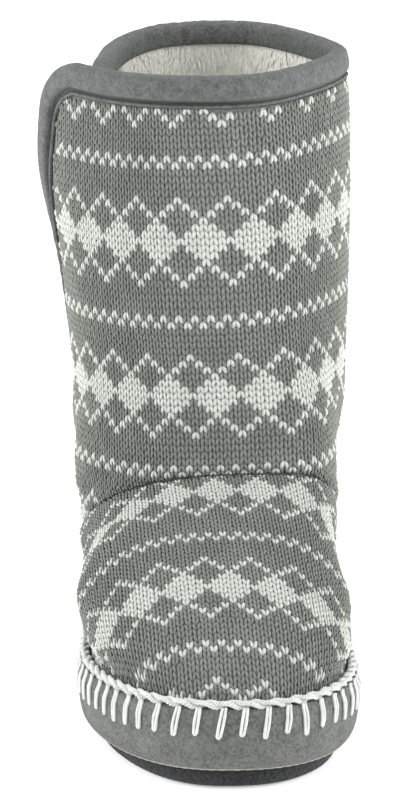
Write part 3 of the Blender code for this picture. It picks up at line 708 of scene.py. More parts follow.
PIECE_TRIANGLES = 190000
SHAFT_CELLS = ((-40, 108), (-22, 66))  # columns, then rows: the first, and the one after the last
STITCH_CLEARANCE = 0.0022  # bare strip of knit beside the binding, under the roll and the dark painted shade lines beside it
UNDERLAP_SEEN = 16.0
SEAM_OVERLAP, RIM_OVERLAP = 0.0010, 0.0005  # how far stitch middles may lie below seam and rim
SEAM_PUFF, SEAM_PUFF_REACH = 0.0009, 0.009
SEAM_DIP, SEAM_DIP_REACH = 0.0006, 0.0014


def seam_relief(above):
    """The shaft's edge puffs over the seam and turns in at it."""
    above = np.maximum(above, 0.0)
    puff = SEAM_PUFF * np.sin(math.pi * np.clip(above / SEAM_PUFF_REACH, 0.0, 1.0)) ** 1.5
    dip = SEAM_DIP * (1.0 - smooth(above / SEAM_DIP_REACH))
    return puff - dip


def shaft_knit():
    """Stitches of the shaft in two yarns, cut at the binding and at the lower edge."""
    columns, rows = chart_cells(*SHAFT_CELLS)
    turn, real_turn, z = shaft_cell_place(columns, rows)
    low = lower_edge(real_turn)[:, 2]
    last_turn = np.where(z < SLIT_HEIGHT, WRAP_EDGE_TURN + 360.0, LAP_START + UNDERLAP_SEEN)
    keep = (turn >= WRAP_EDGE_TURN) & (turn < last_turn)
    keep &= edge_distance(turn, z) > BINDING_WIDTH + STITCH_CLEARANCE
    tucked = sidewall_top(lower_edge(real_turn)[:, 1]) - RIM_OVERLAP
    keep &= (z > low - SEAM_OVERLAP) & (z > tucked)
    limit = PIECE_TRIANGLES // (len(LEG_FACES) * 2)
    for yarn, slot, columns, rows in by_yarn(columns[keep], rows[keep], "grey_knit"):
        order = np.argsort(rows, kind="stable")
        for number, part in enumerate(np.array_split(order, math.ceil(len(order) / limit))):
            column, row, height = leg_cells(columns[part], rows[part], 1.0, yarn.width)
            turn, real_turn, z = shaft_cell_place(column, row)
            edge_z = lower_edge(real_turn)[..., 2]
            z = np.maximum(z, edge_z)
            point, normal = shaft_dressed(turn, z)
            lift = KNIT_HEIGHT + height + seam_relief(z - edge_z)
            point = point + normal * lift[..., None]
            name = f"shaft_knit_{yarn.name}_{number}"
            build_piece(name, point, leg_faces(len(part)), yarn.look, slot, "shaft")


# Shaft ground and lining
GROUND_COUNTS, LINING_COUNTS = table("main under below above", [(150, 12, 22, 40), (130, 12, 18, 44)])
LUMPS = 0.0003
EVEN_SHARE, EDGE_POWER, FOOT_POWER = 0.6, 1.8, 1.3  # steps are closer near the wrap's edge and the seam
SHELL_DROP = 0.0004
GROUND_OUTER, GROUND_INNER, LINING_OUTER = -0.0009, -0.0021, -0.0022


def shaft_grid(counts):
    """Turns and heights of a fine grid on the shaft, laid out as the part's own.

    The counts are steps round the main turn and the underlap, and steps up below and above the slit.
    """
    even = np.linspace(0.0, 1.0, counts.main)
    spread = EVEN_SHARE * even + (1.0 - EVEN_SHARE) * even**EDGE_POWER
    main = WRAP_EDGE_TURN + (360.0 - LAP_TURN) * spread
    under = main[-1] + (WRAP_UNDERLAP + LAP_TURN) * (np.arange(counts.under) + 1.0) / counts.under
    turns = np.concatenate([main, under])
    low = lower_edge(turns + wrap_drift(turns, 0.0))[:, 2]
    below = ((np.arange(counts.below) / counts.below) ** FOOT_POWER)[:, None]
    above = (np.arange(counts.above + 1) / counts.above)[:, None]
    slit = np.full(len(turns), SLIT_HEIGHT)
    hidden = np.arange(len(turns)) >= counts.main
    slit[hidden] += 2.0 * KNIT_THICKNESS * (turns[hidden] - main[-1]) / WRAP_UNDERLAP
    top = shaft_top(turns) - under_drop(turns) - SHELL_DROP
    return turns, np.concatenate([low + (slit - low) * below, slit + (top - slit) * above])


def pile_lumps(turn, z):
    """Waves of the lining's face, which is lumpy, as short curly pile is."""
    return np.sin(turn * 0.55 + 3.0 * np.sin(z * 310.0)) * np.sin(z * 520.0 + 2.0 * np.sin(turn * 0.31))


def shaft_shell(name, look, slot, outer_offset, inner_offset, lumps, counts):
    """A closed shell along the shaft between two offsets from the part's surface."""
    turns, z = shaft_grid(counts)
    wide = np.broadcast_to(turns, z.shape)
    point, normal = shaft_surface(wide, z)
    relief = seam_relief(z - lower_edge(wide + wrap_drift(wide, z))[..., 2])
    inside = inner_offset + lumps * pile_lumps(wide, z) + np.minimum(relief, 0.0) * 0.5
    outer = point + normal * (outer_offset + relief)[..., None]
    inner = point + normal * inside[..., None]
    rows, columns = z.shape
    size = rows * columns
    last, split = counts.main - 1, counts.below
    strips = [(j, j + 1, 0, rows - 1) for j in range(last)]
    strips += [(last, 0, 0, split)]
    strips += [(j, j + 1, split, rows - 1) for j in range(last, columns - 1)]
    faces = []
    for a, b, first, end in strips:
        for i in range(first, end):
            corners = (i * columns + a, i * columns + b, (i + 1) * columns + b, (i + 1) * columns + a)
            faces.append(corners)
            faces.append(tuple(size + k for k in corners[::-1]))
        for row, c, d in ((end, a, b), (first, b, a)):
            c, d = row * columns + c, row * columns + d
            faces.append((c, d, size + d, size + c))
    for j in (0, columns - 1):
        for i in range(split, rows - 1):
            a, b = i * columns + j, (i + 1) * columns + j
            faces.append((a, b, size + b, size + a) if j == 0 else (b, a, size + a, size + b))
    used = sorted({k for face in faces for k in face})
    renumber = {k: n for n, k in enumerate(used)}
    faces = [tuple(renumber[k] for k in face) for face in faces]
    points = np.stack([outer, inner]).reshape(-1, 3)[used]
    build_piece(name, points, faces, look, slot, "shaft")


# Vamp knit
VAMP_ROWS = [-30.0, -6.0, 0.0, 11.5, 23.0, 34.5, 40.0, 43.2, 46.5]
VAMP_SHARES = [0.201, 0.482, 0.552, 0.685, 0.809, 0.919, 0.967, 0.994, 1.0]
VAMP_PITCH_SHARES = [0.40, 0.55, 0.81, 0.97, 1.0]
VAMP_PITCHES = [0.00285, 0.00287, 0.00300, 0.00307, 0.00307]
VAMP_LINE_X, VAMP_LINE_SLOPE, VAMP_LINE_Y = 0.0064, 0.088, 0.105
VAMP_GRID_SHARES = np.linspace(0.12, 0.9995, 340)
VAMP_GRID_OVER = np.linspace(-1.0, 1.0, 601)
VAMP_GRID_ARCS = np.linspace(-0.130, 0.130, 521)
VAMP_CREST = slice(150, 451)  # the part of the grid's columns that the middle column may run over


def vamp_tables():
    """Place over the vamp for each share and distance across from the middle column."""
    points = vamp_point(VAMP_GRID_SHARES[:, None], VAMP_GRID_OVER[None, :])
    steps = np.linalg.norm(np.diff(points, axis=1), axis=2)
    arcs = np.concatenate([np.zeros((len(points), 1)), np.cumsum(steps, axis=1)], axis=1)
    y = points[:, 0, 1]
    line_x = VAMP_LINE_X + VAMP_LINE_SLOPE * (-y - VAMP_LINE_Y)
    table = np.empty((len(points), len(VAMP_GRID_ARCS)))
    for k in range(len(points)):
        middle = np.interp(line_x[k], points[k, VAMP_CREST, 0], arcs[k, VAMP_CREST])
        table[k] = np.interp(VAMP_GRID_ARCS, arcs[k] - middle, VAMP_GRID_OVER, left=-2.0, right=2.0)
    return table


VAMP_OVER = vamp_tables()
OUTER_SPREAD, OUTER_BACK = 0.0026, 0.016
OUTER_COLUMN, OUTER_COLUMNS, OUTER_ROW, OUTER_ROWS = 10.0, 9.0, 3.0, 8.0
DOTS_SLANT, DOTS_ROW, DOTS_ROWS = 0.2, 11.5, 6.0


def grid_place(value, grid):
    """Where a value lies on an even grid, in steps."""
    return np.clip((value - grid[0]) / (grid[1] - grid[0]), 0, len(grid) - 1.001)


def vamp_cell_place(column, row):
    share = np.interp(row, VAMP_ROWS, VAMP_SHARES)
    arc = column * np.interp(share, VAMP_PITCH_SHARES, VAMP_PITCHES)
    outer = smooth((-column - OUTER_COLUMN) / OUTER_COLUMNS) * (1.0 - smooth((row - OUTER_ROW) / OUTER_ROWS))
    arc = arc - OUTER_SPREAD * outer
    share = share - OUTER_BACK * outer
    share = share - DOTS_SLANT * arc * bell(row, DOTS_ROW, DOTS_ROWS)
    across, along = grid_place(arc, VAMP_GRID_ARCS), grid_place(share, VAMP_GRID_SHARES)
    i, j = along.astype(int), across.astype(int)
    s, t = along - i, across - j
    over = (VAMP_OVER[i, j] * (1 - s) * (1 - t) + VAMP_OVER[i + 1, j] * s * (1 - t)
            + VAMP_OVER[i, j + 1] * (1 - s) * t + VAMP_OVER[i + 1, j + 1] * s * t)
    return share, over


def vamp_normal(share, over):
    near = 0.0015
    over = np.clip(over, -0.995, 0.995)
    along = vamp_point(share + near, over) - vamp_point(share - near, over)
    across = vamp_point(share, over + near) - vamp_point(share, over - near)
    return unit(np.cross(along, across))


VAMP_DIP, VAMP_DIP_REACH = 0.0003, 0.0020
VAMP_CELLS = ((-42, 43), (-30, 46))
VAMP_SEAM_OVERLAP, VAMP_RIM_CLEARANCE = 0.0016, 0.35 * CORD_DIAMETER


def vamp_relief(point):
    before = seam_y(point) - point[..., 1]
    return -VAMP_DIP * (1.0 - smooth(before / VAMP_DIP_REACH))


def vamp_knit():
    """Stitches of the vamp, points towards the toe."""
    columns, rows = chart_cells(*VAMP_CELLS)
    share, over = vamp_cell_place(columns, rows)
    point = vamp_point(share, np.clip(over, -1.0, 1.0))
    keep = np.abs(over) < 1.0
    keep &= point[:, 1] < seam_y(point) + VAMP_SEAM_OVERLAP
    keep &= point[:, 2] > sidewall_top(point[:, 1]) + VAMP_RIM_CLEARANCE
    for yarn, slot, columns, rows in by_yarn(columns[keep], rows[keep], "grey_knit_vamp"):
        column, row, height = leg_cells(columns, rows, -1.0, yarn.width)
        share, over = vamp_cell_place(column, row)
        over = np.clip(over, -0.999, 0.999)
        point, normal = vamp_point(share, over), vamp_normal(share, over)
        behind = np.maximum(point[..., 1] - seam_y(point) + GAP, 0.0)
        point[..., 1] -= behind
        lift = KNIT_HEIGHT + height + vamp_relief(point)
        point = point + normal * lift[..., None]
        faces = leg_faces(len(columns))[:, ::-1]
        build_piece(f"vamp_knit_{yarn.name}", point, faces, yarn.look, slot, "vamp")


VAMP_SHELL_COLUMNS, VAMP_SHELL_ROWS = 90, 50
VAMP_SHELL_REACH, VAMP_SHELL_TOE = 0.995, 0.9996


def vamp_shell(name, look, slot, outer_offset, inner_offset):
    """A closed shell along the vamp between two offsets from the part's surface."""
    over = np.linspace(VAMP_SHELL_REACH, -VAMP_SHELL_REACH, VAMP_SHELL_COLUMNS)
    start = seam_share(over, SHELL_DROP)
    steps = (np.arange(VAMP_SHELL_ROWS) / VAMP_SHELL_ROWS)[:, None]
    share = 1.0 - (1.0 - start) * (1.0 - steps) ** 1.6
    share = np.concatenate([share, np.full((1, len(over)), VAMP_SHELL_TOE)])
    wide = np.broadcast_to(over, share.shape)
    point, normal = vamp_point(share, wide), vamp_normal(share, wide)
    relief = vamp_relief(point)[..., None]
    outer = point + normal * (outer_offset + relief)
    inner = point + normal * inner_offset
    rows, columns = share.shape
    size = rows * columns
    faces = [grid_faces(rows, columns), grid_faces(rows, columns, flip=True) + size]
    across, along = np.arange(columns - 1), np.arange(rows - 1) * columns
    last_row, last_column = (rows - 1) * columns, columns - 1
    for edge, step, flip in ((across, 1, True), (last_row + across, 1, False),
                             (along, columns, False), (last_column + along, columns, True)):
        side = np.stack([edge, edge + step, size + edge + step, size + edge], -1)
        faces.append(side[:, ::-1] if flip else side)
    build_piece(name, np.stack([outer, inner]), np.concatenate(faces), look, slot, "vamp")


# Binding
SKIN = 2.5 * GAP + BINDING_THICKNESS
COLLAR_STATIONS, CORNER_STATIONS, EDGE_STATIONS = 330, 28, 90


def binding_path():
    """Turn and height along the bound edge: the underlap's end, the collar, the corner, the free edge."""
    last = LAP_START + WRAP_UNDERLAP + LAP_TURN
    corner_turn = np.degrees(WRAP_CORNER_RADIUS / (SHAFT_DEPTH / 2.0))
    collar = np.linspace(last, WRAP_EDGE_TURN + corner_turn, COLLAR_STATIONS)
    angle = np.radians(np.linspace(0.0, 90.0, CORNER_STATIONS))[1:]
    corner = WRAP_EDGE_TURN + corner_turn * (1.0 - np.sin(angle))
    corner_z = KNIT_TOP - WRAP_CORNER_RADIUS * (1.0 - np.cos(angle))
    down = np.linspace(corner_z[-1], SLIT_HEIGHT + BINDING_WIDTH / 2.0, EDGE_STATIONS)[1:]
    turn = np.concatenate([collar, corner, np.full(len(down), WRAP_EDGE_TURN)])
    z = np.concatenate([KNIT_TOP - under_drop(collar), corner_z, down])
    return turn, z


def binding_frame(turn, z, depth):
    """Edge points, normals, directions beyond the edge, and the points and normals at a depth in from it."""
    edge, normal = shaft_surface(turn, z)
    beyond = unit(np.cross(np.gradient(edge, axis=0), normal))
    step = 1e-3
    by_turn = (shaft_point(turn + step, z) - shaft_point(turn - step, z)) / (2.0 * step)
    by_height = (shaft_point(turn, z + step) - shaft_point(turn, z - step)) / (2.0 * step)
    frames = np.stack([by_turn, by_height], -1)
    moves = (np.linalg.pinv(frames) @ (-beyond * depth)[..., None])[..., 0]
    return edge, normal, beyond, *shaft_surface(turn + moves[:, 0], z + moves[:, 1])


# Up from the hem to the edge, out as a share of the skin
BINDING_FACE = table("up out", [
    (0.00, 0.05),
    (0.015, 0.50),
    (0.07, 0.84),
    (0.20, 1.03),
    (0.40, 1.10),
    (0.62, 1.11),
    (0.82, 1.06),
])
CAP_POINTS = 9
EDGE_THIN, EDGE_THIN_END, EDGE_THIN_FADE = 0.42, 0.183, 0.040
STRIP_TAPER, STRIP_END = 0.009, 0.15
FLUSH_SHARE, FLUSH_TURN, FLUSH_SPREAD = 0.55, 88.0, 50.0
FLUSH_RISE, FLUSH_SINK = 0.0008, 0.0003
ROLL_START = 20  # the roll and its dark painted shade lines leave out the first stations, hidden under the wrap
ROLL_RADIUS, ROLL_DROP = 0.00066, 0.0008
# Thin dark tubes on both sides of the roll are painted shade lines, not real grooves
SHADE_LINE_RADIUS, SHADE_LINE_SINK = 0.00026, 0.0002

RIPPLE_COLUMNS = "size pitch sway slow"
PUCKERS = table(RIPPLE_COLUMNS, [(0.00010, 1900.0, 1.5, 410.0), (0.00016, 700.0, 2.0, 163.0)])
GATHERS = table(RIPPLE_COLUMNS, [(1.0, 760.0, 2.6, 210.0), (0.7, 1500.0, 2.1, 150.0)])
GATHER_SIZE, GATHER_SWAY, GATHER_SLOW = 0.00034, 0.4, 97.0
GATHER_START, GATHER_GROWTH, GATHER_END, GATHER_FADE = 120.0, 30.0, 268.0, 25.0
FOLD_DEPTH, FOLD_TURN, FOLD_SPREAD = 0.0011, 190.0, 1.3


def ripples(rows, along):
    return sum(row.size * np.sin(along * row.pitch + row.sway * np.sin(along * row.slow)) for row in rows)


def collar_binding():
    """A soft folded strip, puffy outside, rounded over the edge, with a roll below it and dark tubes on both
    sides of the roll as painted shade lines.
    """
    turn, z = binding_path()
    edge, normal, beyond, hem, hem_normal = binding_frame(turn, z, BINDING_WIDTH - BINDING_THICKNESS)
    along = arc_lengths(edge)
    pucker = ripples(PUCKERS, along)
    back = smooth((turn - GATHER_START) / GATHER_GROWTH) * smooth((GATHER_END - turn) / GATHER_FADE)
    waves = ripples(GATHERS, along) * (1.0 - GATHER_SWAY + GATHER_SWAY * np.sin(along * GATHER_SLOW))
    gathers = back * (GATHER_SIZE * waves - FOLD_DEPTH * bell(turn, FOLD_TURN, FOLD_SPREAD))
    thin = EDGE_THIN + (1.0 - EDGE_THIN) * smooth((z - EDGE_THIN_END) / EDGE_THIN_FADE)
    skin = SKIN * np.where(np.arange(len(z)) > len(z) - EDGE_STATIONS, thin, 1.0)
    skin = skin * (STRIP_END + (1.0 - STRIP_END) * smooth((along[-1] - along) / STRIP_TAPER))
    outer_skin = skin * (1.0 - FLUSH_SHARE * bell(turn, FLUSH_TURN, FLUSH_SPREAD))
    bases = [hem + (edge - hem) * place.up for place in BINDING_FACE]
    aways = [hem_normal + (normal - hem_normal) * place.up for place in BINDING_FACE]
    outside, inside = [], []
    for place, base, away in zip(BINDING_FACE, bases, aways):
        arch = math.sin(math.pi * place.up)
        outside.append(base + away * (outer_skin * place.out + pucker * arch)[:, None])
        inside.append(base - away * (KNIT_THICKNESS + skin * place.out + gathers * arch)[:, None])
    cap = []
    for angle in math.pi * np.arange(CAP_POINTS) / (CAP_POINTS - 1):
        half = KNIT_THICKNESS / 2.0 + (outer_skin if math.cos(angle) > 0.0 else skin)
        out = -KNIT_THICKNESS / 2.0 + half * math.cos(angle)
        up = skin * math.sin(angle) + (0.5 * pucker + 0.25 * gathers) * math.sin(angle)
        cap.append(edge + normal * out[:, None] + beyond * up[:, None])
    sections = np.stack(outside + cap + inside[::-1], 1)
    count, sides = sections.shape[:2]
    faces = [tuple(face) for face in grid_faces(count, sides, False, True)]
    faces.append(tuple(range(sides))[::-1])
    faces.append(tuple((count - 1) * sides + k for k in range(sides)))
    build_piece("collar_binding_soft", sections, faces, FLEECE, "grey_fleece", "collar_binding")
    turn, z = turn[ROLL_START:], z[ROLL_START:]
    flush = bell(turn, FLUSH_TURN, FLUSH_SPREAD)[:, None]
    hem = binding_frame(turn, z, BINDING_WIDTH + (ROLL_DROP - FLUSH_RISE * flush))[3]
    build_piece("binding_roll", *tube(hem, ROLL_RADIUS, 8), FLEECE, "grey_fleece")
    # Dark tubes on both sides of the roll: painted shade lines
    shade_lines = []
    for drop in (-SHADE_LINE_RADIUS, ROLL_DROP + ROLL_RADIUS + 0.6 * SHADE_LINE_RADIUS):
        hem, hem_normal = binding_frame(turn, z, BINDING_WIDTH + drop)[3:]
        shade_lines.append(tube(hem - hem_normal * (SHADE_LINE_SINK + FLUSH_SINK * flush), SHADE_LINE_RADIUS, 6))
    build_piece("binding_painted_shade_lines", *join(shade_lines), PAINTED_SHADE_LINE, "grey_fleece")


# Suede sidewall
def spline(rows, per):
    """Points of a closed table of rows on a smooth loop."""
    table = np.array(rows, float)
    count = len(table)
    result = []
    for k in range(count):
        a, b, c, d = (table[(k + n) % count] for n in (-1, 0, 1, 2))
        for t in np.arange(per) / per:
            curve = (2 * a - 5 * b + 4 * c - d) * t**2 + (3 * b - a - 3 * c + d) * t**3
            result.append(0.5 * (2 * b + (c - a) * t + curve))
    return np.array(result)


# The outside of the suede down to its cut edge, which hangs a little below its seat
SUEDE_HEM = table("inset height", [
    (0.40, 1.00),
    (0.06, 0.84),
    (0.00, 0.60),
    (0.07, 0.34),
    (0.42, 0.10),
    (1.05, -0.045),
    (1.60, -0.062),
    (2.30, -0.030),
    (2.80, 0.04),
    (1.75, 0.20),
    (1.22, 0.36),
    (1.00, 0.60),
    (1.05, 0.84),
    (1.40, 1.00),
])
HEM_STEPS, CUT_EDGE_STEPS = 160, 210
CUT_EDGE_INSET, CUT_EDGE_HEIGHT = 1.30, -0.058
CUT_EDGE_RADIUS, CUT_EDGE_RIPPLE, CUT_EDGE_STEP = 0.00045, 0.0001, 1.9
HEM_HIGHEST = 1.02


def wall_loop(inset, height, steps):
    """A loop on the sidewall, at an inset in thicknesses and a height in shares of the wall."""
    x, y = plan_loop(inset * SIDEWALL_THICKNESS, steps)
    return np.stack([x, y, floor_lift(y) + SIDEWALL_BASE + height * SIDEWALL_HEIGHT], -1)


def sidewall_soft():
    loops = [wall_loop(inset, min(height, HEM_HIGHEST), HEM_STEPS) for inset, height in spline(SUEDE_HEM, 3)]
    sections = np.stack(loops, 1)
    faces = grid_faces(*sections.shape[:2], True, True, flip=True)
    build_piece("sidewall_suede", sections, faces, SUEDE, "grey_suede", "sidewall")
    loop = wall_loop(CUT_EDGE_INSET, CUT_EDGE_HEIGHT, CUT_EDGE_STEPS)
    loop[:, 2] += CUT_EDGE_RIPPLE * np.sin(np.arange(len(loop)) * CUT_EDGE_STEP)
    build_piece("suede_edge", *tube(loop[::-1], CUT_EDGE_RADIUS, 6, closed=True), CUT_EDGE, "grey_suede")


# Edge yarn and blanket stitches
FRONT_PITCH, SIDE_PITCH = 0.0086, 0.0064
BRAID_STEPS = 20
STRAND_TWIST = 0.00088
PLIES, PLY_RADIUS, PLY_TWIST, PLY_TURNS = 3, 0.00060, 0.00054, 5
BRAID_PULL = 0.00045
BRAID_HAIRS, STITCH_HAIRS = 6000, 2400
HAIR_RADIUS = 0.00006
STITCH_STEPS = 16
STITCH_LENGTH, STITCH_RADIUS, STITCH_SPREAD = 0.0102, 0.00060, 0.00062
STITCH_SLANT, STITCH_HIDDEN = 0.0018, 0.0012
SLANT_SPREAD, REACH_SPREAD, WIDTH_SPREAD = 0.0007, 0.06, 0.10
HAIR_LENGTHS, HAIR_BEND = (0.0006, 0.0016), 0.5
HAIR_NARROWING = 0.8
STRAND_WOBBLE, STRAND_WOBBLES = 0.14, 37.0
PLY_SWELL, PLY_SWELLS = 0.10, 7.0
TOP_STEPS, PITCH_POWER = 900, 1.5
LOOP_NARROW, LOOP_BELLY = 0.8, 0.35  # a stitch's width at its ends, and what its belly adds
STITCH_SEAT, STITCH_LIFT = 0.55 * STITCH_RADIUS, 0.0003
STITCH_SWELL, STITCH_SWELL_SPREAD = 0.10, 0.6
WALL_HEIGHTS, WALL_INSETS = [0.32, 0.58, 0.84, 1.0], [0.12, 0.0, 0.05, 0.40]


def top_path(inset, height, count):
    """Evenly spaced points round the sidewall's top, and the outward directions in plan."""
    x, y = plan_loop(inset, TOP_STEPS)
    loop = np.stack([x, y], -1)
    closed = np.concatenate([loop, loop[:1]])
    steps = np.diff(closed, axis=0)
    lengths = np.linalg.norm(steps, axis=1)
    pitch = SIDE_PITCH + (FRONT_PITCH - SIDE_PITCH) * (np.abs(steps[:, 0]) / lengths) ** PITCH_POWER
    arc = np.concatenate([[0.0], np.cumsum(lengths / pitch)])
    at = np.arange(count) * arc[-1] / count
    x, y = np.interp(at, arc, closed[:, 0]), np.interp(at, arc, closed[:, 1])
    path = np.stack([x, y, sidewall_top(y) + height], -1)
    ahead = ahead_on(path)
    outward = unit(np.stack([ahead[:, 1], -ahead[:, 0], 0.0 * x], -1))
    centre = path.mean(axis=0)
    if np.mean(np.sum(outward * (path - centre), axis=1)) < 0:
        outward = -outward
    return path, outward, arc[-1]


def turned(outward, angle):
    """Directions across the path, turned from outward towards up."""
    return outward * np.cos(angle)[:, None] + np.array([0.0, 0.0, 1.0]) * np.sin(angle)[:, None]


def edge_braid():
    """Two strands of thick yarn twisted round each other along the sidewall's top."""
    middle = KNIT_INSET - GAP - CORD_DIAMETER / 2.0
    _, _, length = top_path(middle, 0.0, 64)
    stitches = int(round(length))
    count = stitches * BRAID_STEPS
    path, outward, _ = top_path(middle, GAP + 0.5 * CORD_DIAMETER, count)
    step = np.arange(count) * math.tau / BRAID_STEPS
    path[:, 2] -= BRAID_PULL * np.cos(step)
    phase = step / 2.0
    if stitches % 2:
        phase *= (stitches + 1) / stitches
    parts = []
    for strand in range(2):
        round_path = np.arange(count) * math.tau * STRAND_WOBBLES / count
        wobble = 1.0 + STRAND_WOBBLE * np.sin(round_path + strand)
        strand_path = path + turned(outward, phase + math.pi * strand) * (STRAND_TWIST * wobble)[:, None]
        for ply in range(PLIES):
            spread = turned(outward, -PLY_TURNS * phase + math.tau * ply / PLIES)
            radius = PLY_RADIUS * (1.0 + PLY_SWELL * np.sin(phase * PLY_SWELLS + 2.0 * ply + strand))
            parts.append(tube(strand_path + spread * PLY_TWIST, radius, 5, closed=True))
    points, faces = join(parts)
    build_piece("edge_braid", points, faces, EDGE_YARN, "white_yarn", "edge_cord")
    return stitches, points[rng.integers(0, len(points), BRAID_HAIRS)]


def blanket_stitches(stitches):
    """Loops of yarn from the braid down over the suede, one for each step of the braid."""
    parts = []
    path, outward, _ = top_path(0.0, 0.0, stitches * STITCH_STEPS)
    ahead = unit(ahead_on(path))
    leg = np.linspace(0.0, 1.0, 8)
    bend = np.radians(np.linspace(0.0, 180.0, 7))[1:-1]
    for k in range(0, stitches * STITCH_STEPS, STITCH_STEPS):
        slant = STITCH_SLANT * ahead[k, 0] + rng.normal(0.0, SLANT_SPREAD)
        reach = STITCH_LENGTH * (1.0 + rng.normal(0.0, REACH_SPREAD))
        spread = STITCH_SPREAD * (1.0 + rng.normal(0.0, WIDTH_SPREAD))
        straight = reach - spread
        down = np.concatenate([straight * leg, straight + spread * np.sin(bend), straight * leg[::-1]])
        along = np.concatenate([0.0 * leg + spread, spread * np.cos(bend), 0.0 * leg - spread])
        along = along * (LOOP_NARROW + LOOP_BELLY * np.sin(math.pi * down / reach))
        along = along + slant * (1.0 - down / reach)
        down = down - STITCH_HIDDEN * (1.0 - down / reach)
        wall_height = 1.0 - np.maximum(down, 0.0) / SIDEWALL_HEIGHT
        inset = np.interp(wall_height, WALL_HEIGHTS, WALL_INSETS) * SIDEWALL_THICKNESS
        out = STITCH_SEAT + STITCH_LIFT * np.sin(math.pi * np.clip(down / reach, 0.0, 1.0))
        points = path[k] + outward[k] * (out - inset)[:, None] + ahead[k] * along[:, None]
        points[:, 2] = path[k, 2] - down
        swell = STITCH_SWELL * rng.normal(0.0, STITCH_SWELL_SPREAD, len(points))
        radius = STITCH_RADIUS * (1.0 + swell)
        parts.append(tube(points, radius, 8, reference=outward[k]))
    points, faces = join(parts)
    build_piece("blanket_stitches", points, faces, EDGE_YARN, "white_yarn")
    return points[rng.integers(0, len(points), STITCH_HAIRS)]


def yarn_fuzz(roots):
    """Short loose fibres that stand off the thick yarn."""
    count = len(roots)
    way = unit(rng.normal(0.0, 1.0, (count, 3)))
    bend = rng.normal(0.0, HAIR_BEND, (count, 3))
    length = rng.uniform(*HAIR_LENGTHS, count)[:, None]
    across = unit(np.cross(way, bend))
    middle = roots + way * length * 0.5
    tip = roots + (way + bend * 0.5) * length
    hairs = cones(roots, middle, tip, across, np.cross(way, across), HAIR_RADIUS, HAIR_NARROWING)
    build_piece("yarn_fuzz", *hairs, EDGE_YARN, "white_yarn")


# Pile locks
LOCKS = 14000
LOCK_HIGHEST, LOCK_LOWEST = 0.0030, 0.062
LOCK_ENDS = (WRAP_EDGE_TURN + 10.0, LAP_START + 10.0)
LOCK_LENGTHS, LOCK_WIDTHS, LOCK_RISES = (0.0035, 0.0065), (0.00050, 0.00095), (0.03, 0.15)
LOCK_LEAN, LOCK_SWIRL = 0.20, 0.30
LOCK_SAG, LOCK_CURL, LOCK_NARROWING = 0.05, 0.06, 0.9
LOCK_FLATNESS = 0.35
LOCK_SOFTNESS = 0.15  # how far the locks' shading strays from the lining's


def pile_tufts():
    """Short locks of pile on the upper lining, thickest just under the binding."""
    turn = rng.uniform(*LOCK_ENDS, LOCKS)
    z = KNIT_TOP - under_drop(turn) - BINDING_WIDTH + LOCK_HIGHEST - LOCK_LOWEST * rng.beta(1.0, 2.0, LOCKS)
    normal = shaft_normal(turn, z)
    root = shaft_point(turn, z) - normal * (KNIT_THICKNESS - GAP)
    around = unit(np.cross(normal, [0.0, 0.0, 1.0]))
    down = np.array([0.0, 0.0, -1.0])
    lean = rng.normal(0.0, LOCK_LEAN, LOCKS) + LOCK_SWIRL * np.sin(turn * 0.17 + 40.0 * z)
    rise = rng.uniform(*LOCK_RISES, LOCKS)
    way = unit(-normal * rise[:, None] + down + around * lean[:, None])
    length = rng.uniform(*LOCK_LENGTHS, LOCKS)[:, None]
    width = rng.uniform(*LOCK_WIDTHS, LOCKS)[:, None]
    across = unit(np.cross(way, normal))
    middle = root + way * length * 0.5 - normal * length * LOCK_SAG
    tip = root + way * length + normal * length * LOCK_CURL
    flat = LOCK_FLATNESS * np.cross(way, across)
    locks = cones(root, middle, tip, across, flat, width, LOCK_NARROWING)
    piece = build_piece("pile_tufts", *locks, TUFTS, "white_pile")
    soft = unit(-normal[:, None] + LOCK_SOFTNESS * rng.normal(0.0, 1.0, (LOCKS, CONE_POINTS, 3)))
    piece.data.normals_split_custom_set_from_vertices(soft.reshape(-1, 3))


# Soles
MERGE_DISTANCE = 2e-5
PLATE_STEPS = 120
PLATE_SHARES = (0.96, 0.85, 0.7, 0.5, 0.3, 0.1, 0.0)
INSOLE_INSET = 2.8 * SIDEWALL_THICKNESS + GAP
PLATE_MIDDLE = (0.0095, 0.0)  # where the plate's middle line runs across, at its toe and at its heel
INSOLE_EDGE, OUTSOLE_EDGE = 0.0012, 0.0020
INSOLE_LUMPS, TOE_DROP = 0.0005, 0.0016


def sole_plate(name, look, slot, node, inset, underside, thickness, edge, wave=0.0, toe_drop=0.0):
    """A sole plate with a rounded edge, a lumpy top where wave is set, and a lower toe below."""
    rings = []
    for angle in np.radians(np.linspace(-90.0, 90.0, 9)):
        x, y = plan_loop(inset + edge * (1.0 - math.cos(angle)), PLATE_STEPS)
        above = 0.5 + 0.5 * np.sign(angle)
        height = edge + (thickness - 2.0 * edge) * above + edge * math.sin(angle)
        drop = toe_drop * toe_part(plan_share(y, 0.0)) ** 2
        lift = floor_lift(y) - drop if angle < 0 else floor_lift(y)
        rings.append(np.stack([x, y, lift + underside + height], -1))
    top, bottom = [], []
    for share in PLATE_SHARES:
        for rows, (x, y, z), size in ((top, rings[-1].T, wave), (bottom, rings[0].T, 0.0)):
            centre_x = np.interp(y, [y.min(), y.max()], PLATE_MIDDLE)
            x = centre_x + (x - centre_x) * share
            lump = size * (np.sin(x * 900.0) * np.sin(y * 870.0) + 0.4 * np.sin(x * 2100 + y * 1700))
            rows.append(np.stack([x, y, z + lump], -1))
    stack = np.stack(bottom[::-1] + rings + top)
    faces = grid_faces(*stack.shape[:2], False, True, flip=True)
    piece = build_piece(name, stack, faces, look, slot, node)
    plate = bmesh.new()
    plate.from_mesh(piece.data)
    bmesh.ops.remove_doubles(plate, verts=plate.verts, dist=MERGE_DISTANCE)
    plate.to_mesh(piece.data)
    plate.free()


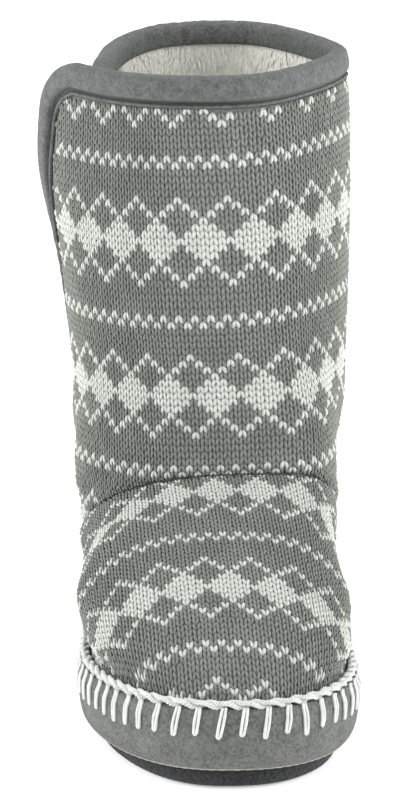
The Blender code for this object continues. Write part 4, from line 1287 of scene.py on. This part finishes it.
shaft_knit()
# The shaft's and vamp's ground shells are darkened as painted shade between the stitches
shaft_shell("shaft_ground", PAINTED_SHADE_GROUND, "grey_knit", GROUND_OUTER, GROUND_INNER, 0.0, GROUND_COUNTS)
shaft_shell("shaft_lining", PILE, "white_pile", LINING_OUTER, -KNIT_THICKNESS, LUMPS, LINING_COUNTS)
vamp_knit()
vamp_shell("vamp_ground", PAINTED_SHADE_GROUND, "grey_knit_vamp", GROUND_OUTER, GROUND_INNER)
vamp_shell("vamp_lining", PILE, "white_pile", LINING_OUTER, -KNIT_THICKNESS)
collar_binding()
sidewall_soft()
stitch_count, braid_roots = edge_braid()
stitch_roots = blanket_stitches(stitch_count)
yarn_fuzz(np.concatenate([braid_roots, stitch_roots]))
pile_tufts()
sole_plate("insole_pile", PILE, "white_pile", "insole", INSOLE_INSET,
           OUTSOLE_THICKNESS + GAP, INSOLE_THICKNESS, INSOLE_EDGE, wave=INSOLE_LUMPS)
sole_plate("outsole_textile", TEXTILE, "charcoal_textile", "outsole", OUTSOLE_INSET,
           0.0, OUTSOLE_THICKNESS, OUTSOLE_EDGE, toe_drop=TOE_DROP)


# Floor, light and camera
FLOOR_HALF = 4.0
LIGHT_PLACE, LIGHT_TARGET = (1.1, -0.35, 0.55), (0.0, -0.05, 0.12)
LIGHT_SIZE, LIGHT_POWER = (0.9, 1.2), 15.0
CAMERA_TARGET = np.array([0.0, -0.08, 0.1166])
CAMERA_DISTANCE, CAMERA_ELEVATION = 1.6, math.radians(15.0)
CAMERA_LENS, SENSOR_HEIGHT = 119.1, 24.0


def aim(thing, place, target):
    thing.location = place
    thing.rotation_euler = (Vector(target) - Vector(place)).to_track_quat("-Z", "Y").to_euler()


def floor_plane():
    look = bpy.data.materials.new("pale_floor")
    look.use_nodes = True
    white = (1.0, 1.0, 1.0, 1.0)
    set_inputs(look.node_tree.nodes["Principled BSDF"],
               {"Base Color": (0.92, 0.92, 0.92, 1.0), "Roughness": 0.9,
                "Emission Color": white, "Emission Strength": 0.35})
    corners = FLOOR_HALF * np.array([[-1.0, -1.0, 0.0], [1.0, -1.0, 0.0], [1.0, 1.0, 0.0], [-1.0, 1.0, 0.0]])
    mesh_object("studio_floor", corners, np.array([[0, 1, 2, 3]]), look)


floor_plane()
world = bpy.data.worlds.new("studio")
world.use_nodes = True
set_inputs(world.node_tree.nodes["Background"], {"Color": (1.0, 1.0, 1.0, 1.0), "Strength": 1.0})
bpy.context.scene.world = world
for name, side in (("left_softbox", -1.0), ("right_softbox", 1.0)):
    light = bpy.data.lights.new(name, "AREA")
    light.shape = "RECTANGLE"
    light.size, light.size_y = LIGHT_SIZE
    light.energy = LIGHT_POWER
    aim(link(name, light), (side * LIGHT_PLACE[0], *LIGHT_PLACE[1:]), LIGHT_TARGET)
bpy.context.scene.view_settings.view_transform = "Standard"

camera_data = bpy.data.cameras.new("photo_camera")
camera_data.sensor_fit = "VERTICAL"
camera_data.sensor_height = SENSOR_HEIGHT
camera_data.lens = CAMERA_LENS
camera = link("photo_camera", camera_data)
offset = np.array([0.0, -math.cos(CAMERA_ELEVATION), math.sin(CAMERA_ELEVATION)])
aim(camera, tuple(CAMERA_TARGET + CAMERA_DISTANCE * offset), tuple(CAMERA_TARGET))
bpy.context.scene.camera = camera
